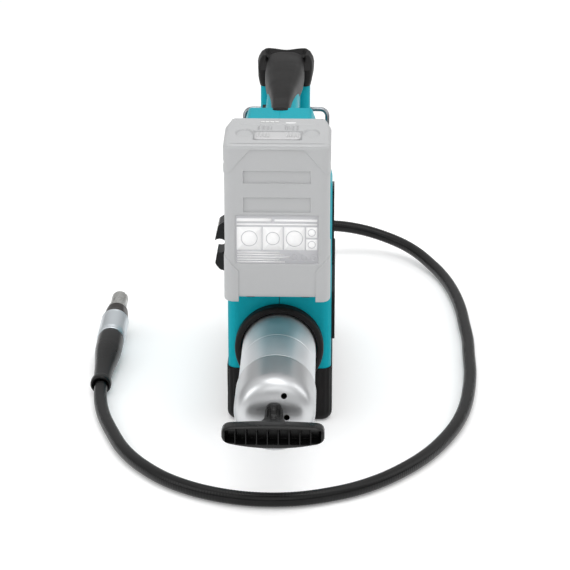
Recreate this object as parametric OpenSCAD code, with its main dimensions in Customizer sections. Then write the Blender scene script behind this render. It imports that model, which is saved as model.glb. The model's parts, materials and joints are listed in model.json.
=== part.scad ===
// Cordless grease gun: a battery tool with a D-handle, a screw-on cartridge barrel, a
// motor-driven plunger pump and a delivery hose that ends in a grease coupler.
// X is to the right, Y to the front, Z up, and z = 0 is the surface it stands on.
// The origin is in the middle of the base's underside, below the barrel's axis.

/* [Body] */
// Room between the barrel and each side of the housing
side_room = 12; // [10:0.5:20]
// Length of the housing from its rear face to its front face
body_len = 212; // [200:1:260]
// Height of the rear tower and of the handle
body_h = 250; // [235:1:300]
// Wall thickness of the housing halves
wall = 2.5; // [2:0.25:3]
// Height of the rubber base
base_h = 46; // [40:1:52]
// Thickness of the rubber base outside the housing
base_t = 3.5; // [2.5:0.5:5]

/* [Handle] */
// Height of the handle's core, from its underside to its top
handle_h = 34; // [30:1:42]
// Width of the handle's core at the rear
handle_w = 26; // [24:1:30]
// Width of the rubber grip at its front end
grip_w = 33; // [31:1:38]
// Width of the front column
column_w = 42; // [38:1:48]
// Length of the front column, front to back
column_len = 34; // [30:1:40]
// Angle that the trigger turns when it is squeezed
trigger_turn = 8; // [5:1:9]

/* [Barrel] */
// Outer diameter of the barrel tube
barrel_d = 58; // [50:0.5:70]
// Wall thickness of the barrel tube
barrel_wall = 1.5; // [1.25:0.25:2]
// Height of the barrel's axis above the ground
barrel_z = 66; // [62:1:80]
// How far the barrel's end cap stands behind the rear face
barrel_out = 144; // [120:1:175]
// Outer radius of the end cap's shoulder
cap_r = 14; // [10:1:16]
// Diameter of the follower rod
rod_d = 8; // [6:0.5:9]
// Width of the T-handle
tee_w = 74; // [60:1:90]

/* [Motor and pump] */
// Diameter of the motor
motor_d = 44; // [40:1:48]
// Distance that the crank pin stands off the crank's axis
throw = 4; // [3:0.5:4.5]
// Diameter of the pump plunger
plunger_d = 10; // [8:0.5:11]
// Module of the first pair of gears
module_1 = 0.8; // [0.7:0.05:0.85]

/* [Battery] */
// Width of the battery
battery_w = 80; // [74:1:88]
// Height of the battery
battery_h = 120; // [115:1:150]
// Depth of the battery, front to back
battery_d = 61; // [60:1:75]
// Diameter of a battery cell
cell_d = 21; // [18:0.5:21]

/* [Hose and coupler] */
// Outer diameter of the hose
hose_d = 11; // [9:0.5:12]
// Diameter of the coupler's metal sleeve
sleeve_d = 24; // [22:0.5:26]
// Diameter of the coupler's nose
nose_d = 15.5; // [14:0.5:17]
// Wire diameter of the hanger bail
wire_d = 4; // [3:0.5:5]

/* [Hidden] */
$fn = 48;

teal = [0.07, 0.54, 0.58];
black = [0.17, 0.17, 0.17];
steel = [0.75, 0.76, 0.78];
alloy = [0.66, 0.68, 0.7];
pale = [0.74, 0.75, 0.76];
fit = 0.03;      // radial clearance of a running fit
gap = 0.3;       // clearance between bodies that move past each other
eps = 1;         // how far a cut runs past the face it opens

half_w = barrel_d / 2 + side_room;
rear_y = -100;
front_y = rear_y + body_len;
skirt = 2.5;                                   // how far the housing steps in behind the base
floor_t = 3;                                   // thickness of the base under the housing
motor_z = barrel_z + barrel_d / 2 + motor_d / 2 + 5;
lower_h = motor_z + motor_d / 2 + 6;           // top of the lower body
handle_z = body_h - handle_h - 2;              // underside of the handle
nose_half = half_w - 9;                        // half width at the front of the lower body
tower_y = rear_y + 42;                         // front face of the rear tower
column_y = front_y + 10;                       // front face of the front column
column_back = column_y - column_len;
shoulder_z = body_h - 53;                      // where the tower starts to narrow
deck_half = 24;                                // half width of the tower's top
grip_y0 = tower_y - 14;
grip_y1 = column_y - 22;

// ---- small helpers -------------------------------------------------------------------

function unit(v) = v / norm(v);
// The points of one corner of an outline, rounded with radius r.
function corner(a, b, c, r, n) = r <= 0 ? [b] :
    let (u = unit(a - b), v = unit(c - b), h = acos(u * v) / 2,
         m = b + unit(u + v) * r / sin(h), s = b + u * r / tan(h) - m, e = b + v * r / tan(h) - m,
         a0 = atan2(s[1], s[0]), d = atan2(e[1], e[0]) - a0, w = d > 180 ? d - 360 : d < -180 ? d + 360 : d)
    [for (i = [0 : n]) m + r * [cos(a0 + w * i / n), sin(a0 + w * i / n)]];
// An outline from points [x, y, corner radius].
function rounded(p, n = 6) = [for (i = [0 : len(p) - 1])
    let (a = p[(i + len(p) - 1) % len(p)], b = p[i], c = p[(i + 1) % len(p)])
    each corner([a[0], a[1]], [b[0], b[1]], [c[0], c[1]], b[2], n)];
function box_outline(x0, x1, y0, y1, r) = rounded([[x0, y0, r], [x1, y0, r], [x1, y1, r], [x0, y1, r]]);
// A toothed outline with straight flanks and clear backlash.
function gear_outline(teeth, m, phase = 0) = [for (i = [0 : teeth - 1],
    k = [[-92, -1.15], [-34, 0.85], [34, 0.85], [92, -1.15]])
    let (a = phase + 360 * i / teeth + k[0] / teeth, r = m * (teeth / 2 + k[1])) r * [cos(a), sin(a)]];

// An outline in Y and Z between two places along X.
module plate_yz(p, x0, x1) translate([x0, 0, 0]) rotate([90, 0, 90]) linear_extrude(x1 - x0) polygon(p);
// An outline in X and Z between two places along Y.
module plate_xz(p, y0, y1) translate([0, y1, 0]) rotate([90, 0, 0]) linear_extrude(y1 - y0) polygon(p);
// An outline in X and Y between two heights.
module plate_xy(p, z0, z1) translate([0, 0, z0]) linear_extrude(z1 - z0) polygon(p);
module block(x0, x1, y0, y1, z0, z1) translate([x0, y0, z0]) cube([x1 - x0, y1 - y0, z1 - z0]);
module rod_x(d, x0, x1, y, z) translate([x0, y, z]) rotate([0, 90, 0]) cylinder(d = d, h = x1 - x0);
module rod_y(d, y0, y1, x = 0, z = barrel_z) translate([x, y0, z]) rotate([-90, 0, 0])
    cylinder(d = d, h = y1 - y0);
module rod_z(d, z0, z1, x, y) translate([x, y, z0]) cylinder(d = d, h = z1 - z0);
module ring_y(d, inner, y0, y1, x = 0, z = barrel_z) difference() {
    rod_y(d, y0, y1, x, z);
    rod_y(inner, y0 - eps, y1 + eps, x, z);
}
// A profile [radius, place along Y] turned round an axis along Y.
module turned_y(p, x = 0, z = barrel_z) translate([x, 0, z]) rotate([-90, 0, 0]) rotate_extrude()
    polygon(p);

// ---- housing -------------------------------------------------------------------------

// Plan of the lower body, moved in by i.
function lower_plan(i) = rounded([
    [half_w - i, rear_y + i, 8], [half_w - i, front_y - 50, 30], [nose_half - i, front_y - 16, 20],
    [nose_half - i, front_y - i, 6], [i - nose_half, front_y - i, 6], [i - nose_half, front_y - 16, 20],
    [i - half_w, front_y - 50, 30], [i - half_w, rear_y + i, 8]]);
// Rear view of the lower body, moved in by i.
function lower_view(i, z0, r) = rounded([
    [i - half_w, z0, r], [half_w - i, z0, r],
    [half_w - i, lower_h - i, 12], [i - half_w, lower_h - i, 12]]);
// Rear view of the tower, moved in by i.
function tower_view(i) = rounded([
    [i - half_w, lower_h - 20, 0], [half_w - i, lower_h - 20, 0], [half_w - i, shoulder_z, 10],
    [deck_half + 2 - i, body_h - 6, 4], [deck_half - i, body_h - i, 4], [i - deck_half, body_h - i, 4],
    [i - deck_half - 2, body_h - 6, 4], [i - half_w, shoulder_z, 10]]);
// Side view of the opening under the handle.
function window_view() = rounded([
    [tower_y, lower_h, 9], [column_back, lower_h, 9], [column_back, handle_z, 16],
    [tower_y, handle_z, 16]]);

// Side view of the lower body, rounded at its front top edge, moved in by i.
function lower_side(i) = rounded([
    [rear_y + i, 0, 0], [front_y - i, 0, 0], [front_y - i, lower_h - i, 14 - i],
    [rear_y + i, lower_h - i, 0]]);
// Side view of the tower, moved in by i.
function tower_side(i) = rounded([[rear_y + i, lower_h - 20, 0], [tower_y - i, lower_h - 20, 0],
    [tower_y - i, body_h - i, 6 - i], [rear_y + i, body_h - i, 4 - i]]);
// Side view of the column, which leans forward out of the lower body, moved in by i.
function column_side(i) = rounded([[column_back + i, lower_h - 30, 0], [front_y - i, lower_h - 30, 0],
    [column_y - i, lower_h - 4, 12], [column_y - i, body_h - 10 - i, 0],
    [column_back + i, body_h - 10 - i, 0]]);

module lower_body(i) {
    intersection() {
        plate_xy(lower_plan(skirt + i), floor_t + i, base_h + i);
        plate_xz(lower_view(skirt + i, floor_t + i, 8), rear_y, front_y);
    }
    intersection() {
        plate_xy(lower_plan(i), base_h + i, lower_h - i);
        plate_xz(lower_view(i, 0, 8), rear_y, front_y);
        plate_yz(lower_side(i), -half_w, half_w);
    }
}
module tower_body(i) intersection() {
    plate_xz(tower_view(i), rear_y, tower_y);
    plate_xy(box_outline(i - half_w, half_w - i, rear_y + i, tower_y - i, 8 - i), lower_h - 20, body_h);
    plate_yz(tower_side(i), -half_w, half_w);
}
module handle_core(i) plate_xz(
    box_outline(i - handle_w / 2, handle_w / 2 - i, handle_z + i, body_h - 4 - i, 9 - i),
    tower_y - 12, column_back + 14);
module column_body(i) intersection() {
    plate_xy(box_outline(i - column_w / 2, column_w / 2 - i, column_back + i, column_y - i, 7 - i),
        lower_h - 30, body_h - 10 - i);
    plate_yz(column_side(i), -half_w, half_w);
}

module housing_solid() difference() {
    union() {
        lower_body(0);
        tower_body(0);
        handle_core(0);
        block(-handle_w / 2, handle_w / 2, tower_y - 1, tower_y + 16, handle_z - 16, handle_z + 10);
        block(-handle_w / 2, handle_w / 2, column_back - 16, column_back + 1, handle_z - 16, handle_z + 10);
        block(-handle_w / 2, handle_w / 2, tower_y - 1, tower_y + 9, lower_h - 1, lower_h + 9);
        block(-handle_w / 2, handle_w / 2, column_back - 9, column_back + 1, lower_h - 1, lower_h + 9);
        column_body(0);
    }
    plate_yz(window_view(), -half_w - eps, half_w + eps);
}

motor_y0 = -46;                 // rear end of the motor's laminations
motor_len = 28;
rib_holes = [[-62, 5, 16], [-43, 3, motor_d], [-24, 3, motor_d]];   // place, thickness, hole

module housing_hollow() difference() {
    union() {
        lower_body(wall);
        tower_body(wall);
        handle_core(wall);
        column_body(wall);
    }
    for (r = rib_holes) difference() {
        block(-half_w, half_w, r[0], r[0] + r[1], 0, lower_h);
        rod_y(r[2], r[0] - eps, r[0] + r[1] + eps, 0, motor_z);
        rod_y(barrel_d + 1, r[0] - eps, r[0] + r[1] + eps);
    }
    for (s = screw_places) rod_x(boss_d, -half_w, half_w, s[0], s[1]);
}

// Places of the screws that join the halves, along Y and Z.
boss_d = 8;
screw_d = 3;
screw_places = [
    [rear_y + 20, floor_t + 18], [20, floor_t + 18], [front_y - 14, floor_t + 18],
    [front_y - 12, lower_h - 24], [rear_y + 12, lower_h - 14], [front_y - 38, lower_h - 14],
    [tower_y - 10, body_h - 16], [column_y - 16, body_h - 34], [column_y - 10, lower_h + 12]];
// Half width of the wall that a screw's head sits in.
function wall_at(s) = s[1] > lower_h ? (s[0] > column_back ? column_w / 2 : deck_half + 2)
    : max(nose_half, half_w - 9 * max(0, s[0] - front_y + 50) / 34) - (s[1] < base_h ? skirt : 0);

collar_d = barrel_d + 12;       // outside of the collar's flange
collar_bore = barrel_d + 2;
outlet_z = barrel_z - 16;
outlet_d = 20;                  // outside of the pump head's outlet boss
bleed_z = barrel_z + 20;
bleed_boss = 14;
trigger_y = column_back - 6;    // the trigger's pivot
trigger_z = handle_z + 8;
button_y = trigger_y - 56;      // the lock button
button_z = handle_z + 9;
button_d = 9;
bail_y = front_y - 8;           // the hanger bail's pivot
bail_z = lower_h - 32;
vent_w = 2.4;
vent_places = [-37.5, -33, -28.5, -6, -1.5, 3, 7.5];   // air slots beside the motor and the fan, along Y
lamp_z = lower_h + 26;
lamp_d = 14;
dial_y = 26;
dial_z = motor_z + 8;

module housing_cuts() {
    housing_hollow();
    rod_y(collar_d - 4, rear_y - eps, rear_y + 8);
    rod_y(outlet_d + 0.6, front_y - 12, front_y + eps, 0, outlet_z);
    rod_y(bleed_boss + 0.6, front_y - 12, front_y + eps, 0, bleed_z);
    rod_y(lamp_d, column_y - 6, column_y + eps, 0, lamp_z);
    rod_x(wire_d + 2 * fit, -half_w, half_w, bail_y, bail_z);
    rod_x(4, -12, 12, trigger_y, trigger_z);
    rod_x(button_d + 2 * gap, -half_w, half_w, button_y, button_z);
    rod_x(5 + 2 * fit, -half_w - eps, 0, dial_y, dial_z);
    block(-8.5, 8.5, trigger_y - 45, trigger_y + 6.5, handle_z - 18, handle_z + wall + 3);
    for (y = vent_places, side = [-1, 1]) translate([side * (half_w - 2), y, motor_z]) plate_yz(
        box_outline(-vent_w / 2, vent_w / 2, -10, 12, 1.1), -2, 2 + eps);
    for (s = screw_places) {
        rod_x(screw_d, -wall_at(s) + 4, wall_at(s), s[0], s[1]);
        rod_x(6.4, wall_at(s) - 3, wall_at(s) + eps, s[0], s[1]);
    }
}
module housing_half(side) color(teal) intersection() {
    difference() {
        housing_solid();
        housing_cuts();
    }
    block(side < 0 ? -half_w - eps : 0, side < 0 ? 0 : half_w + eps, rear_y - eps, column_y + eps, 0,
        body_h + eps);
}
module left_housing() housing_half(-1);
module right_housing() housing_half(1);

module housing_screws() color(steel) for (s = screw_places) {
    rod_x(6, wall_at(s) - 3, wall_at(s) - 0.5, s[0], s[1]);
    rod_x(screw_d, wall_at(s) - 24, wall_at(s) - 3, s[0], s[1]);
}

// Rubber tray that the housing stands in, with windows at its corners.
module base_bumper() color(black) difference() {
    intersection() {
        plate_xy(lower_plan(skirt - base_t), 0, base_h);
        plate_xz(box_outline(-half_w - 1, half_w + 1, 0, base_h + 20, 10), rear_y - base_t,
            front_y + base_t);
    }
    intersection() {
        plate_xy(lower_plan(skirt), floor_t, base_h + eps);
        plate_xz(lower_view(skirt, floor_t, 8), rear_y, front_y);
    }
    rod_y(collar_d + 0.6, rear_y - base_t, rear_y + 10);
    rod_y(outlet_d + 0.6, front_y - 12, front_y + base_t, 0, outlet_z);
    for (side = [-1, 1]) translate([side * (half_w - 6), rear_y + 8, 22]) rotate([0, side * 90, 0])
        cylinder(d = 8, h = 10);
}

// Rubber strip on the handle's top, narrow at the rear and wide at the front.
module handle_grip() color(black) difference() {
    hull() {
        plate_xz(box_outline(-7, 7, body_h - 10, body_h + 2, 5), grip_y0, grip_y0 + 1);
        plate_xz(box_outline(-12, 12, body_h - 22, body_h + 4, 8), (grip_y0 + grip_y1) / 2,
            (grip_y0 + grip_y1) / 2 + 1);
        plate_xz(box_outline(-grip_w / 2, grip_w / 2, body_h - 26, body_h + 2, 9), grip_y1 - 1, grip_y1);
    }
    handle_core(0);
    block(-half_w, half_w, rear_y, tower_y, 0, body_h);
    plate_xy(box_outline(-column_w / 2, column_w / 2, column_back, column_y, 7), 0, body_h - 10);
}

head_w = 48;
// Flared rubber bumper round the front end of the handle.
module head_bumper() color(black) difference() {
    hull() {
        plate_xy(box_outline(-column_w / 2 - 1.5, column_w / 2 + 1.5, column_back + 10, column_y + 2, 8),
            body_h - 28, body_h - 27);
        plate_xy(box_outline(-head_w / 2, head_w / 2, grip_y1, column_y + 10, 9), body_h - 16, body_h - 8);
        plate_xy(box_outline(3 - head_w / 2, head_w / 2 - 3, grip_y1 + 2, column_y + 7, 8), body_h - 8,
            body_h);
    }
    handle_core(0);
    column_body(0);
    plate_xz(box_outline(-grip_w / 2, grip_w / 2, body_h - 26, body_h + 2, 9), 0, grip_y1 + 0.1);
    translate([0, (grip_y1 + column_y) / 2 - 2, body_h + 27]) rotate([0, 90, 0]) translate([0, 0, -9])
        cylinder(r = 30, h = 18);
}

// Rubber ring that the barrel passes through.
module collar_ring() color(black) difference() {
    turned_y(rounded([[0, rear_y - 10, 0], [collar_d / 2, rear_y - 10, 3], [collar_d / 2, rear_y, 0],
        [collar_d / 2 - 2, rear_y, 0], [collar_d / 2 - 2, rear_y + skirt, 0], [0, rear_y + skirt, 0]]));
    rod_y(collar_bore, rear_y - 11, rear_y + 10);
}

module side_panel() color(black) difference() {
    plate_yz(rounded([
        [rear_y + 10, lower_h - 22, 4], [tower_y - 4, lower_h - 22, 4],
        [tower_y - 4, shoulder_z - 6, 6], [rear_y + 10, shoulder_z - 2, 6]]), half_w, half_w + 1.6);
    rod_x(8, half_w - eps, half_w + 2, rear_y + 12, lower_h - 14);
}
module side_strip() color(black) plate_yz(rounded([
    [rear_y + 8, barrel_z + 1, 5], [front_y - 58, barrel_z + 1, 5],
    [front_y - 64, barrel_z + 40, 8], [rear_y + 8, barrel_z + 40, 8]]), half_w, half_w + 2.6);

clip_z = motor_z + 17;
// Two hooks that hold the hose against the left side.
module hose_clip() color(black) difference() {
    plate_xz(rounded([
        [-half_w, clip_z + 22, 0], [-half_w - 8, clip_z + 17, 3], [-half_w - 11, clip_z + 4, 2],
        [-half_w - 8, clip_z, 1], [-half_w - 11, clip_z - 15, 4], [-half_w - 7, clip_z - 20, 3],
        [-half_w, clip_z - 22, 0]]), -72, -52);
    rod_y(hose_d + 0.6, -73, -51, -half_w - 7, clip_z);
}

// ---- battery mount -------------------------------------------------------------------

battery_y1 = rear_y - 4;                     // front face of the battery
battery_y0 = battery_y1 - battery_d;         // rear face of the battery
battery_z1 = body_h;                         // top of the battery at the rear
battery_z0 = battery_z1 - battery_h;         // underside of the battery
rail_w = 54;                                 // width of the dock's rails
neck_w = 44;                                 // width between the rails
dock_z0 = battery_z0 + 10;
dock_z1 = body_h - 18;

module battery_dock() color(black) difference() {
    union() {
        plate_xz(box_outline(-33, 33, dock_z0 - 6, dock_z1 + 4, 4), battery_y1 + gap, rear_y);
        block(-neck_w / 2, neck_w / 2, battery_y1 - 3, battery_y1 + gap, dock_z0, dock_z1);
        plate_xz(box_outline(-rail_w / 2, rail_w / 2, dock_z0, dock_z1, 3), battery_y1 - 8, battery_y1 - 3);
    }
    for (i = contact_x) block(i - 0.5, i + 0.5, battery_y1 - 9, battery_y1 - 5, dock_z0 + 12, dock_z0 + 40);
}
contact_x = [-12, -4, 4, 12];
module dock_contacts() color([0.8, 0.66, 0.3]) for (i = contact_x)
    block(i - 0.5, i + 0.5, battery_y1 - 12, battery_y1 - 5, dock_z0 + 12, dock_z0 + 40);

// Rear view of the battery's upper cover, which comes down at the corners.
function cover_view() = [[-battery_w, battery_z1 - 23], [-battery_w / 2 + 3.5, battery_z1 - 23],
    [-19, battery_z1 - 2],
    [19, battery_z1 - 2], [battery_w / 2 - 3.5, battery_z1 - 23], [battery_w, battery_z1 - 23],
    [battery_w, battery_z1 + 20], [-battery_w, battery_z1 + 20]];
function battery_plan(i) = rounded([[i - battery_w / 2, battery_y0 + i, 7],
    [battery_w / 2 - i, battery_y0 + i, 7],
    [battery_w / 2 - i, battery_y1 - 18, 6], [battery_w / 2 - 4 - i, battery_y1 - i, 4],
    [i - battery_w / 2 + 4, battery_y1 - i, 4], [i - battery_w / 2, battery_y1 - 18, 6]]);
cell_pitch = cell_d + 0.4;
cell_room = 2 * cell_pitch + 0.4;

module battery_hollow() {
    block(3.5 - battery_w / 2, battery_w / 2 - 3.5, battery_y0 + wall, battery_y0 + wall + cell_room + 0.6,
        battery_z0 + 3, battery_z1 - 6);
}
module rail_slot() {
    block(-neck_w / 2 - gap, neck_w / 2 + gap, battery_y1 - 4, battery_y1 + eps,
        battery_z0 - 5, dock_z1 + 4);
    block(-rail_w / 2 - gap, rail_w / 2 + gap, battery_y1 - 8 - gap, battery_y1 - 3 + gap,
        battery_z0 - 5, dock_z1 + 4);
    block(-16, 16, battery_y1 - 12 - gap, battery_y1 - 8, battery_z0 - 5, dock_z0 + 60);
}
// Room for the latch button and the charge button, pressed all the way in.
module button_pockets() {
    block(-latch_w / 2 - gap, latch_w / 2 + gap, latch_y0 - gap, latch_y1 + gap,
        battery_z1 - 1.4 - latch_step - gap, battery_z1 + 10);
    rod_z(charge_d + 2 * gap, battery_z1 - 1.6 - charge_step - gap, battery_z1 + 10, charge_x, charge_y);
}
module battery_case() color(pale) difference() {
    union() {
        plate_xy(battery_plan(0.6), battery_z0, battery_z1 - 2);
        for (side = [-1, 1]) intersection() {
            plate_xy(battery_plan(0), battery_z0 - 3.5, battery_z0 + 33);
            plate_xz([
                [side * 29, battery_z0 - 3.5], [side * battery_w, battery_z0 - 3.5],
                [side * battery_w, battery_z0 + 33], [side * 35.5, battery_z0 + 29],
                [side * 29, battery_z0 + 22]], battery_y0, battery_y1);
        }
    }
    plate_xz(cover_view(), battery_y0 - eps, battery_y1 + eps);
    battery_hollow();
    button_pockets();
    rail_slot();
    for (z = [[-29.5, -20], [-52, -40.5]])
        plate_xz(box_outline(-25, 25, battery_z1 + z[0], battery_z1 + z[1], 2),
            battery_y0, battery_y0 + 1.4);
    plate_xz(box_outline(-31.5, 31.5, battery_z1 - 93, battery_z1 - 54, 1), battery_y0, battery_y0 + 1);
}
module battery_cover() color(pale) difference() {
    intersection() {
        plate_xy(battery_plan(0), battery_z1 - 30, battery_z1 + 6);
        plate_xz(cover_view(), battery_y0 - eps, battery_y1 + eps);
        plate_yz(rounded([
            [battery_y0, battery_z1 - 40, 0], [battery_y1, battery_z1 - 40, 0],
            [battery_y1, battery_z1 + 4, 3], [battery_y0, battery_z1, 4]]), -battery_w, battery_w);
    }
    battery_hollow();
    button_pockets();
    rail_slot();
    for (side = [-1, 1]) translate([side * 25, (latch_y0 + latch_y1) / 2 + 4, battery_z1 + 0.5])
        cylinder(d = 8, h = 10);
}
latch_w = 34;
latch_y0 = battery_y0 + 13;
latch_y1 = battery_y0 + 31;
latch_step = 3.2;               // how far the latch button can be pressed
charge_x = 9.3;
charge_y = battery_y1 - 11;
charge_d = 5;
charge_step = 0.8;              // how far the charge button can be pressed
module battery_latch() color([0.6, 0.61, 0.62]) {
    block(-latch_w / 2, latch_w / 2, latch_y0, latch_y1, battery_z1 - 1.4, battery_z1 + 1);
    for (x = [-15 : 3 : -6], s = [-1, 1]) block(s * x - 0.6, s * x + 0.6, latch_y0 + 3, latch_y1 - 3,
        battery_z1 + 1, battery_z1 + 1.8);
}
module charge_button() color([0.9, 0.9, 0.9]) rod_z(charge_d, battery_z1 - 1.6, battery_z1 + 3.8, charge_x,
    charge_y);
module battery_label() color([0.92, 0.92, 0.92])
    plate_xz(box_outline(-31, 31, battery_z1 - 92.5, battery_z1 - 54.5, 1), battery_y0 + 0.6,
        battery_y0 + 1);
module battery_cells() color([0.3, 0.5, 0.6]) for (k = [0 : 4], j = [0, 1])
    rod_x(cell_d, -35, 35, battery_y0 + wall + 0.4 + cell_d / 2 + j * cell_pitch,
        battery_z0 + 3.4 + cell_d / 2 + k * cell_pitch);

// ---- controls ------------------------------------------------------------------------

module work_lamp() color([0.95, 0.95, 0.9]) {
    rod_y(lamp_d, column_y - wall, column_y + 0.5, 0, lamp_z);
    rod_y(lamp_d - 4, column_y - 8, column_y - wall, 0, lamp_z);
}
module flow_dial() color(black) {
    difference() {
        rod_x(22, -half_w - 3.4, -half_w - gap, dial_y, dial_z);
        for (a = [0 : 20 : 359]) translate([0, dial_y, dial_z]) rotate([a, 0, 0])
            rod_x(2, -half_w - 4, -half_w, 11.3, 0);
        block(-half_w - 4, -half_w - 2.8, dial_y - 0.8, dial_y + 0.8, dial_z + 3, dial_z + 9.5);
    }
    rod_x(5, -half_w - gap, -half_w + 8, dial_y, dial_z);
}
button_step = 4;                // how far the lock button slides across the handle
module lock_button() color(black)
    rod_x(button_d, -handle_w / 2 - button_step, handle_w / 2, button_y, button_z);
module trigger() color(black) difference() {
    plate_yz(rounded([
        [trigger_y - 42, trigger_z - 8, 1], [trigger_y - 36, trigger_z - 17, 5],
        [trigger_y - 18, trigger_z - 20, 12], [trigger_y - 2, trigger_z - 12, 8],
        [trigger_y + 4, trigger_z - 4, 3], [trigger_y + 4, trigger_z + 4, 3],
        [trigger_y - trigger_len, trigger_z + 3, 1]]), -8, 8);
    rod_x(4 + 2 * fit, -9, 9, trigger_y, trigger_z);
}
module trigger_pin() color(steel) rod_x(4, -12, 12, trigger_y, trigger_z);
trigger_len = 40;               // from the trigger's pivot to the rear end of its top
switch_z = trigger_z + 3 + trigger_len * sin(trigger_turn) + 1.4;    // just above the squeezed trigger
module switch_body() color([0.25, 0.25, 0.27]) difference() {
    block(-7.5, 7.5, trigger_y - 36, trigger_y - 6, switch_z, body_h - 6 - wall);
    block(-6, 6, trigger_y - 34, trigger_y - 8, switch_z + 2, body_h - 8 - wall);
}
module control_board() color([0.1, 0.4, 0.2]) {
    block(-30, 30, rear_y + 6, rear_y + 8, lower_h + 2, body_h - 30);
    for (z = [lower_h + 10 : 16 : body_h - 50]) block(-12, 12, rear_y + 8, rear_y + 12, z, z + 9);
}

// ---- motor and gears -----------------------------------------------------------------

teeth = [9, 36, 9, 27];          // motor pinion, large gear, small gear, crank gear
gear_off = module_1 * (teeth[0] + teeth[1]) / 2;
module_2 = 2 * gear_off / (teeth[2] + teeth[3]);
case_y0 = 12;
case_y1 = 43;
crank_y = case_y1 + 1;
pump_y = crank_y + 11;           // the plunger's axis

module gear(n, m, y0, y1, x = 0, phase = 0) translate([x, 0, motor_z])
    plate_xz(gear_outline(teeth[n], m, phase), y0, y1);

module motor_stator() color([0.35, 0.35, 0.37]) {
    ring_y(motor_d, 26, motor_y0, motor_y0 + motor_len, 0, motor_z);
    for (y = [motor_y0 - 6, motor_y0 + motor_len]) ring_y(motor_d - 8, 28, y, y + 6, 0, motor_z);
}
module motor_rotor() color([0.5, 0.5, 0.52]) ring_y(25, 6, motor_y0, motor_y0 + motor_len, 0, motor_z);
module motor_shaft() color(steel) {
    rod_y(6, -63, case_y0 + 6, 0, motor_z);
    gear(0, module_1, case_y0 + 6, case_y0 + 14);
}
module cooling_fan() color(black) difference() {
    union() {
        ring_y(14, 6, -6, 5, 0, motor_z);
        rod_y(38, 3, 5, 0, motor_z);
        for (a = [0 : 40 : 359]) translate([0, 0, motor_z]) rotate([0, a, 0])
            block(6, 18.5, -5, 3, -0.8, 0.8);
    }
    rod_y(6, -7, 6, 0, motor_z);
}
module rear_bearing() color(steel) ring_y(16, 6 + 2 * fit, -62, -57, 0, motor_z);
module front_bearing() color(steel) ring_y(16, 6 + 2 * fit, case_y0, case_y0 + 5, 0, motor_z);
module reduction_gear() color(steel) difference() {
    union() {
        gear(1, module_1, case_y0 + 6.5, case_y0 + 13, gear_off, 180 / teeth[1]);
        gear(2, module_2, case_y0 + 13, case_y0 + 23, gear_off);
    }
    rod_y(4 + 2 * fit, case_y0, case_y1, gear_off, motor_z);
}
module reduction_pin() color(steel) rod_y(4, case_y0 + 2, case_y1 - 2, gear_off, motor_z);
crank_d = 20;
pin_d = 5;
module crank_gear() color(steel) {
    gear(3, module_2, case_y0 + 15, case_y0 + 22.5);
    rod_y(8, case_y0 + 22.5, crank_y, 0, motor_z);
    rod_y(crank_d, crank_y, crank_y + 5, 0, motor_z);
    rod_y(pin_d, crank_y + 5, pump_y + 5, throw, motor_z);
}
module case_outline_solid(i, y0, y1)
    plate_xz(box_outline(i - 21, gear_off + 19.5 - i, motor_z - 19.5 + i, motor_z + 19.5 - i, 6 - i), y0,
        y1);
module gearbox_case() color(alloy) difference() {
    case_outline_solid(0, case_y0 + 5, case_y1);
    case_outline_solid(2.5, case_y0 + 4, case_y1 - 5);
    rod_y(8 + 2 * fit, case_y0, case_y1 + eps, 0, motor_z);
    rod_y(4, case_y0, case_y1 - 2, gear_off, motor_z);
}
module gearbox_cover() color(alloy) difference() {
    case_outline_solid(0, case_y0, case_y0 + 5);
    rod_y(16, case_y0 - eps, case_y0 + 6, 0, motor_z);
    rod_y(4, case_y0 + 2, case_y0 + 6, gear_off, motor_z);
}

// ---- pump ----------------------------------------------------------------------------

yoke_w = pin_d + 2 * throw + 1;          // width of the yoke's window
yoke_h = pin_d + 4 * throw + 1;          // its height also leaves the pin free at every place
yoke_t = 8;
head_top = barrel_z + barrel_d / 2 + 1;
head_y0 = 14;
head_y1 = 80;
seat_y = 12;                             // where the barrel's rim seats
bore_bottom = outlet_z - 4;
ball_d = 7;
spring_room = 10;

module plunger_yoke() color(steel) difference() {
    plate_xz(box_outline(-yoke_w / 2 - 4, yoke_w / 2 + 4, motor_z - yoke_h / 2 - 4,
        motor_z + yoke_h / 2 + 4, 3),
        pump_y - yoke_t / 2 + 0.5, pump_y + yoke_t / 2);
    block(-yoke_w / 2, yoke_w / 2, pump_y - yoke_t, pump_y + yoke_t, motor_z - yoke_h / 2,
        motor_z + yoke_h / 2);
}
module pump_plunger() color(steel) rod_z(plunger_d, bore_bottom + throw + 8, motor_z - yoke_h / 2 - 4, 0,
    pump_y);
module pump_head() color(alloy) difference() {
    union() {
        rod_y(barrel_d + 8, 2, head_y0 + 2);
        plate_xy(box_outline(-22, 22, head_y0, head_y1, 4), bore_bottom - 8, head_top);
        rod_y(outlet_d, head_y1 - 2, front_y - 1, 0, outlet_z);
        rod_y(bleed_boss, head_y1 - 2, front_y - 2, 0, bleed_z);
    }
    rod_y(barrel_d + 2 * fit, 2 - eps, seat_y);
    rod_y(barrel_d - 2, seat_y - eps, seat_y + 2);
    rod_y(16, seat_y, pump_y);
    rod_z(plunger_d + 2 * fit, bore_bottom, head_top + eps, 0, pump_y);
    rod_y(5, pump_y, head_y1, 0, outlet_z);
    rod_y(ball_d + 1.2, head_y1, head_y1 + spring_room + eps, 0, outlet_z);
    rod_y(14, head_y1 + spring_room, front_y, 0, outlet_z);
    rod_y(6 + 2 * fit, head_y1 - 6, front_y, 0, bleed_z);
    rod_x(8, 12, 23, 36, barrel_z - 4);
}
ball_y = head_y1 + 2.7;
module valve_ball() color(steel) translate([0, ball_y, outlet_z]) sphere(d = ball_d);

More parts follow.
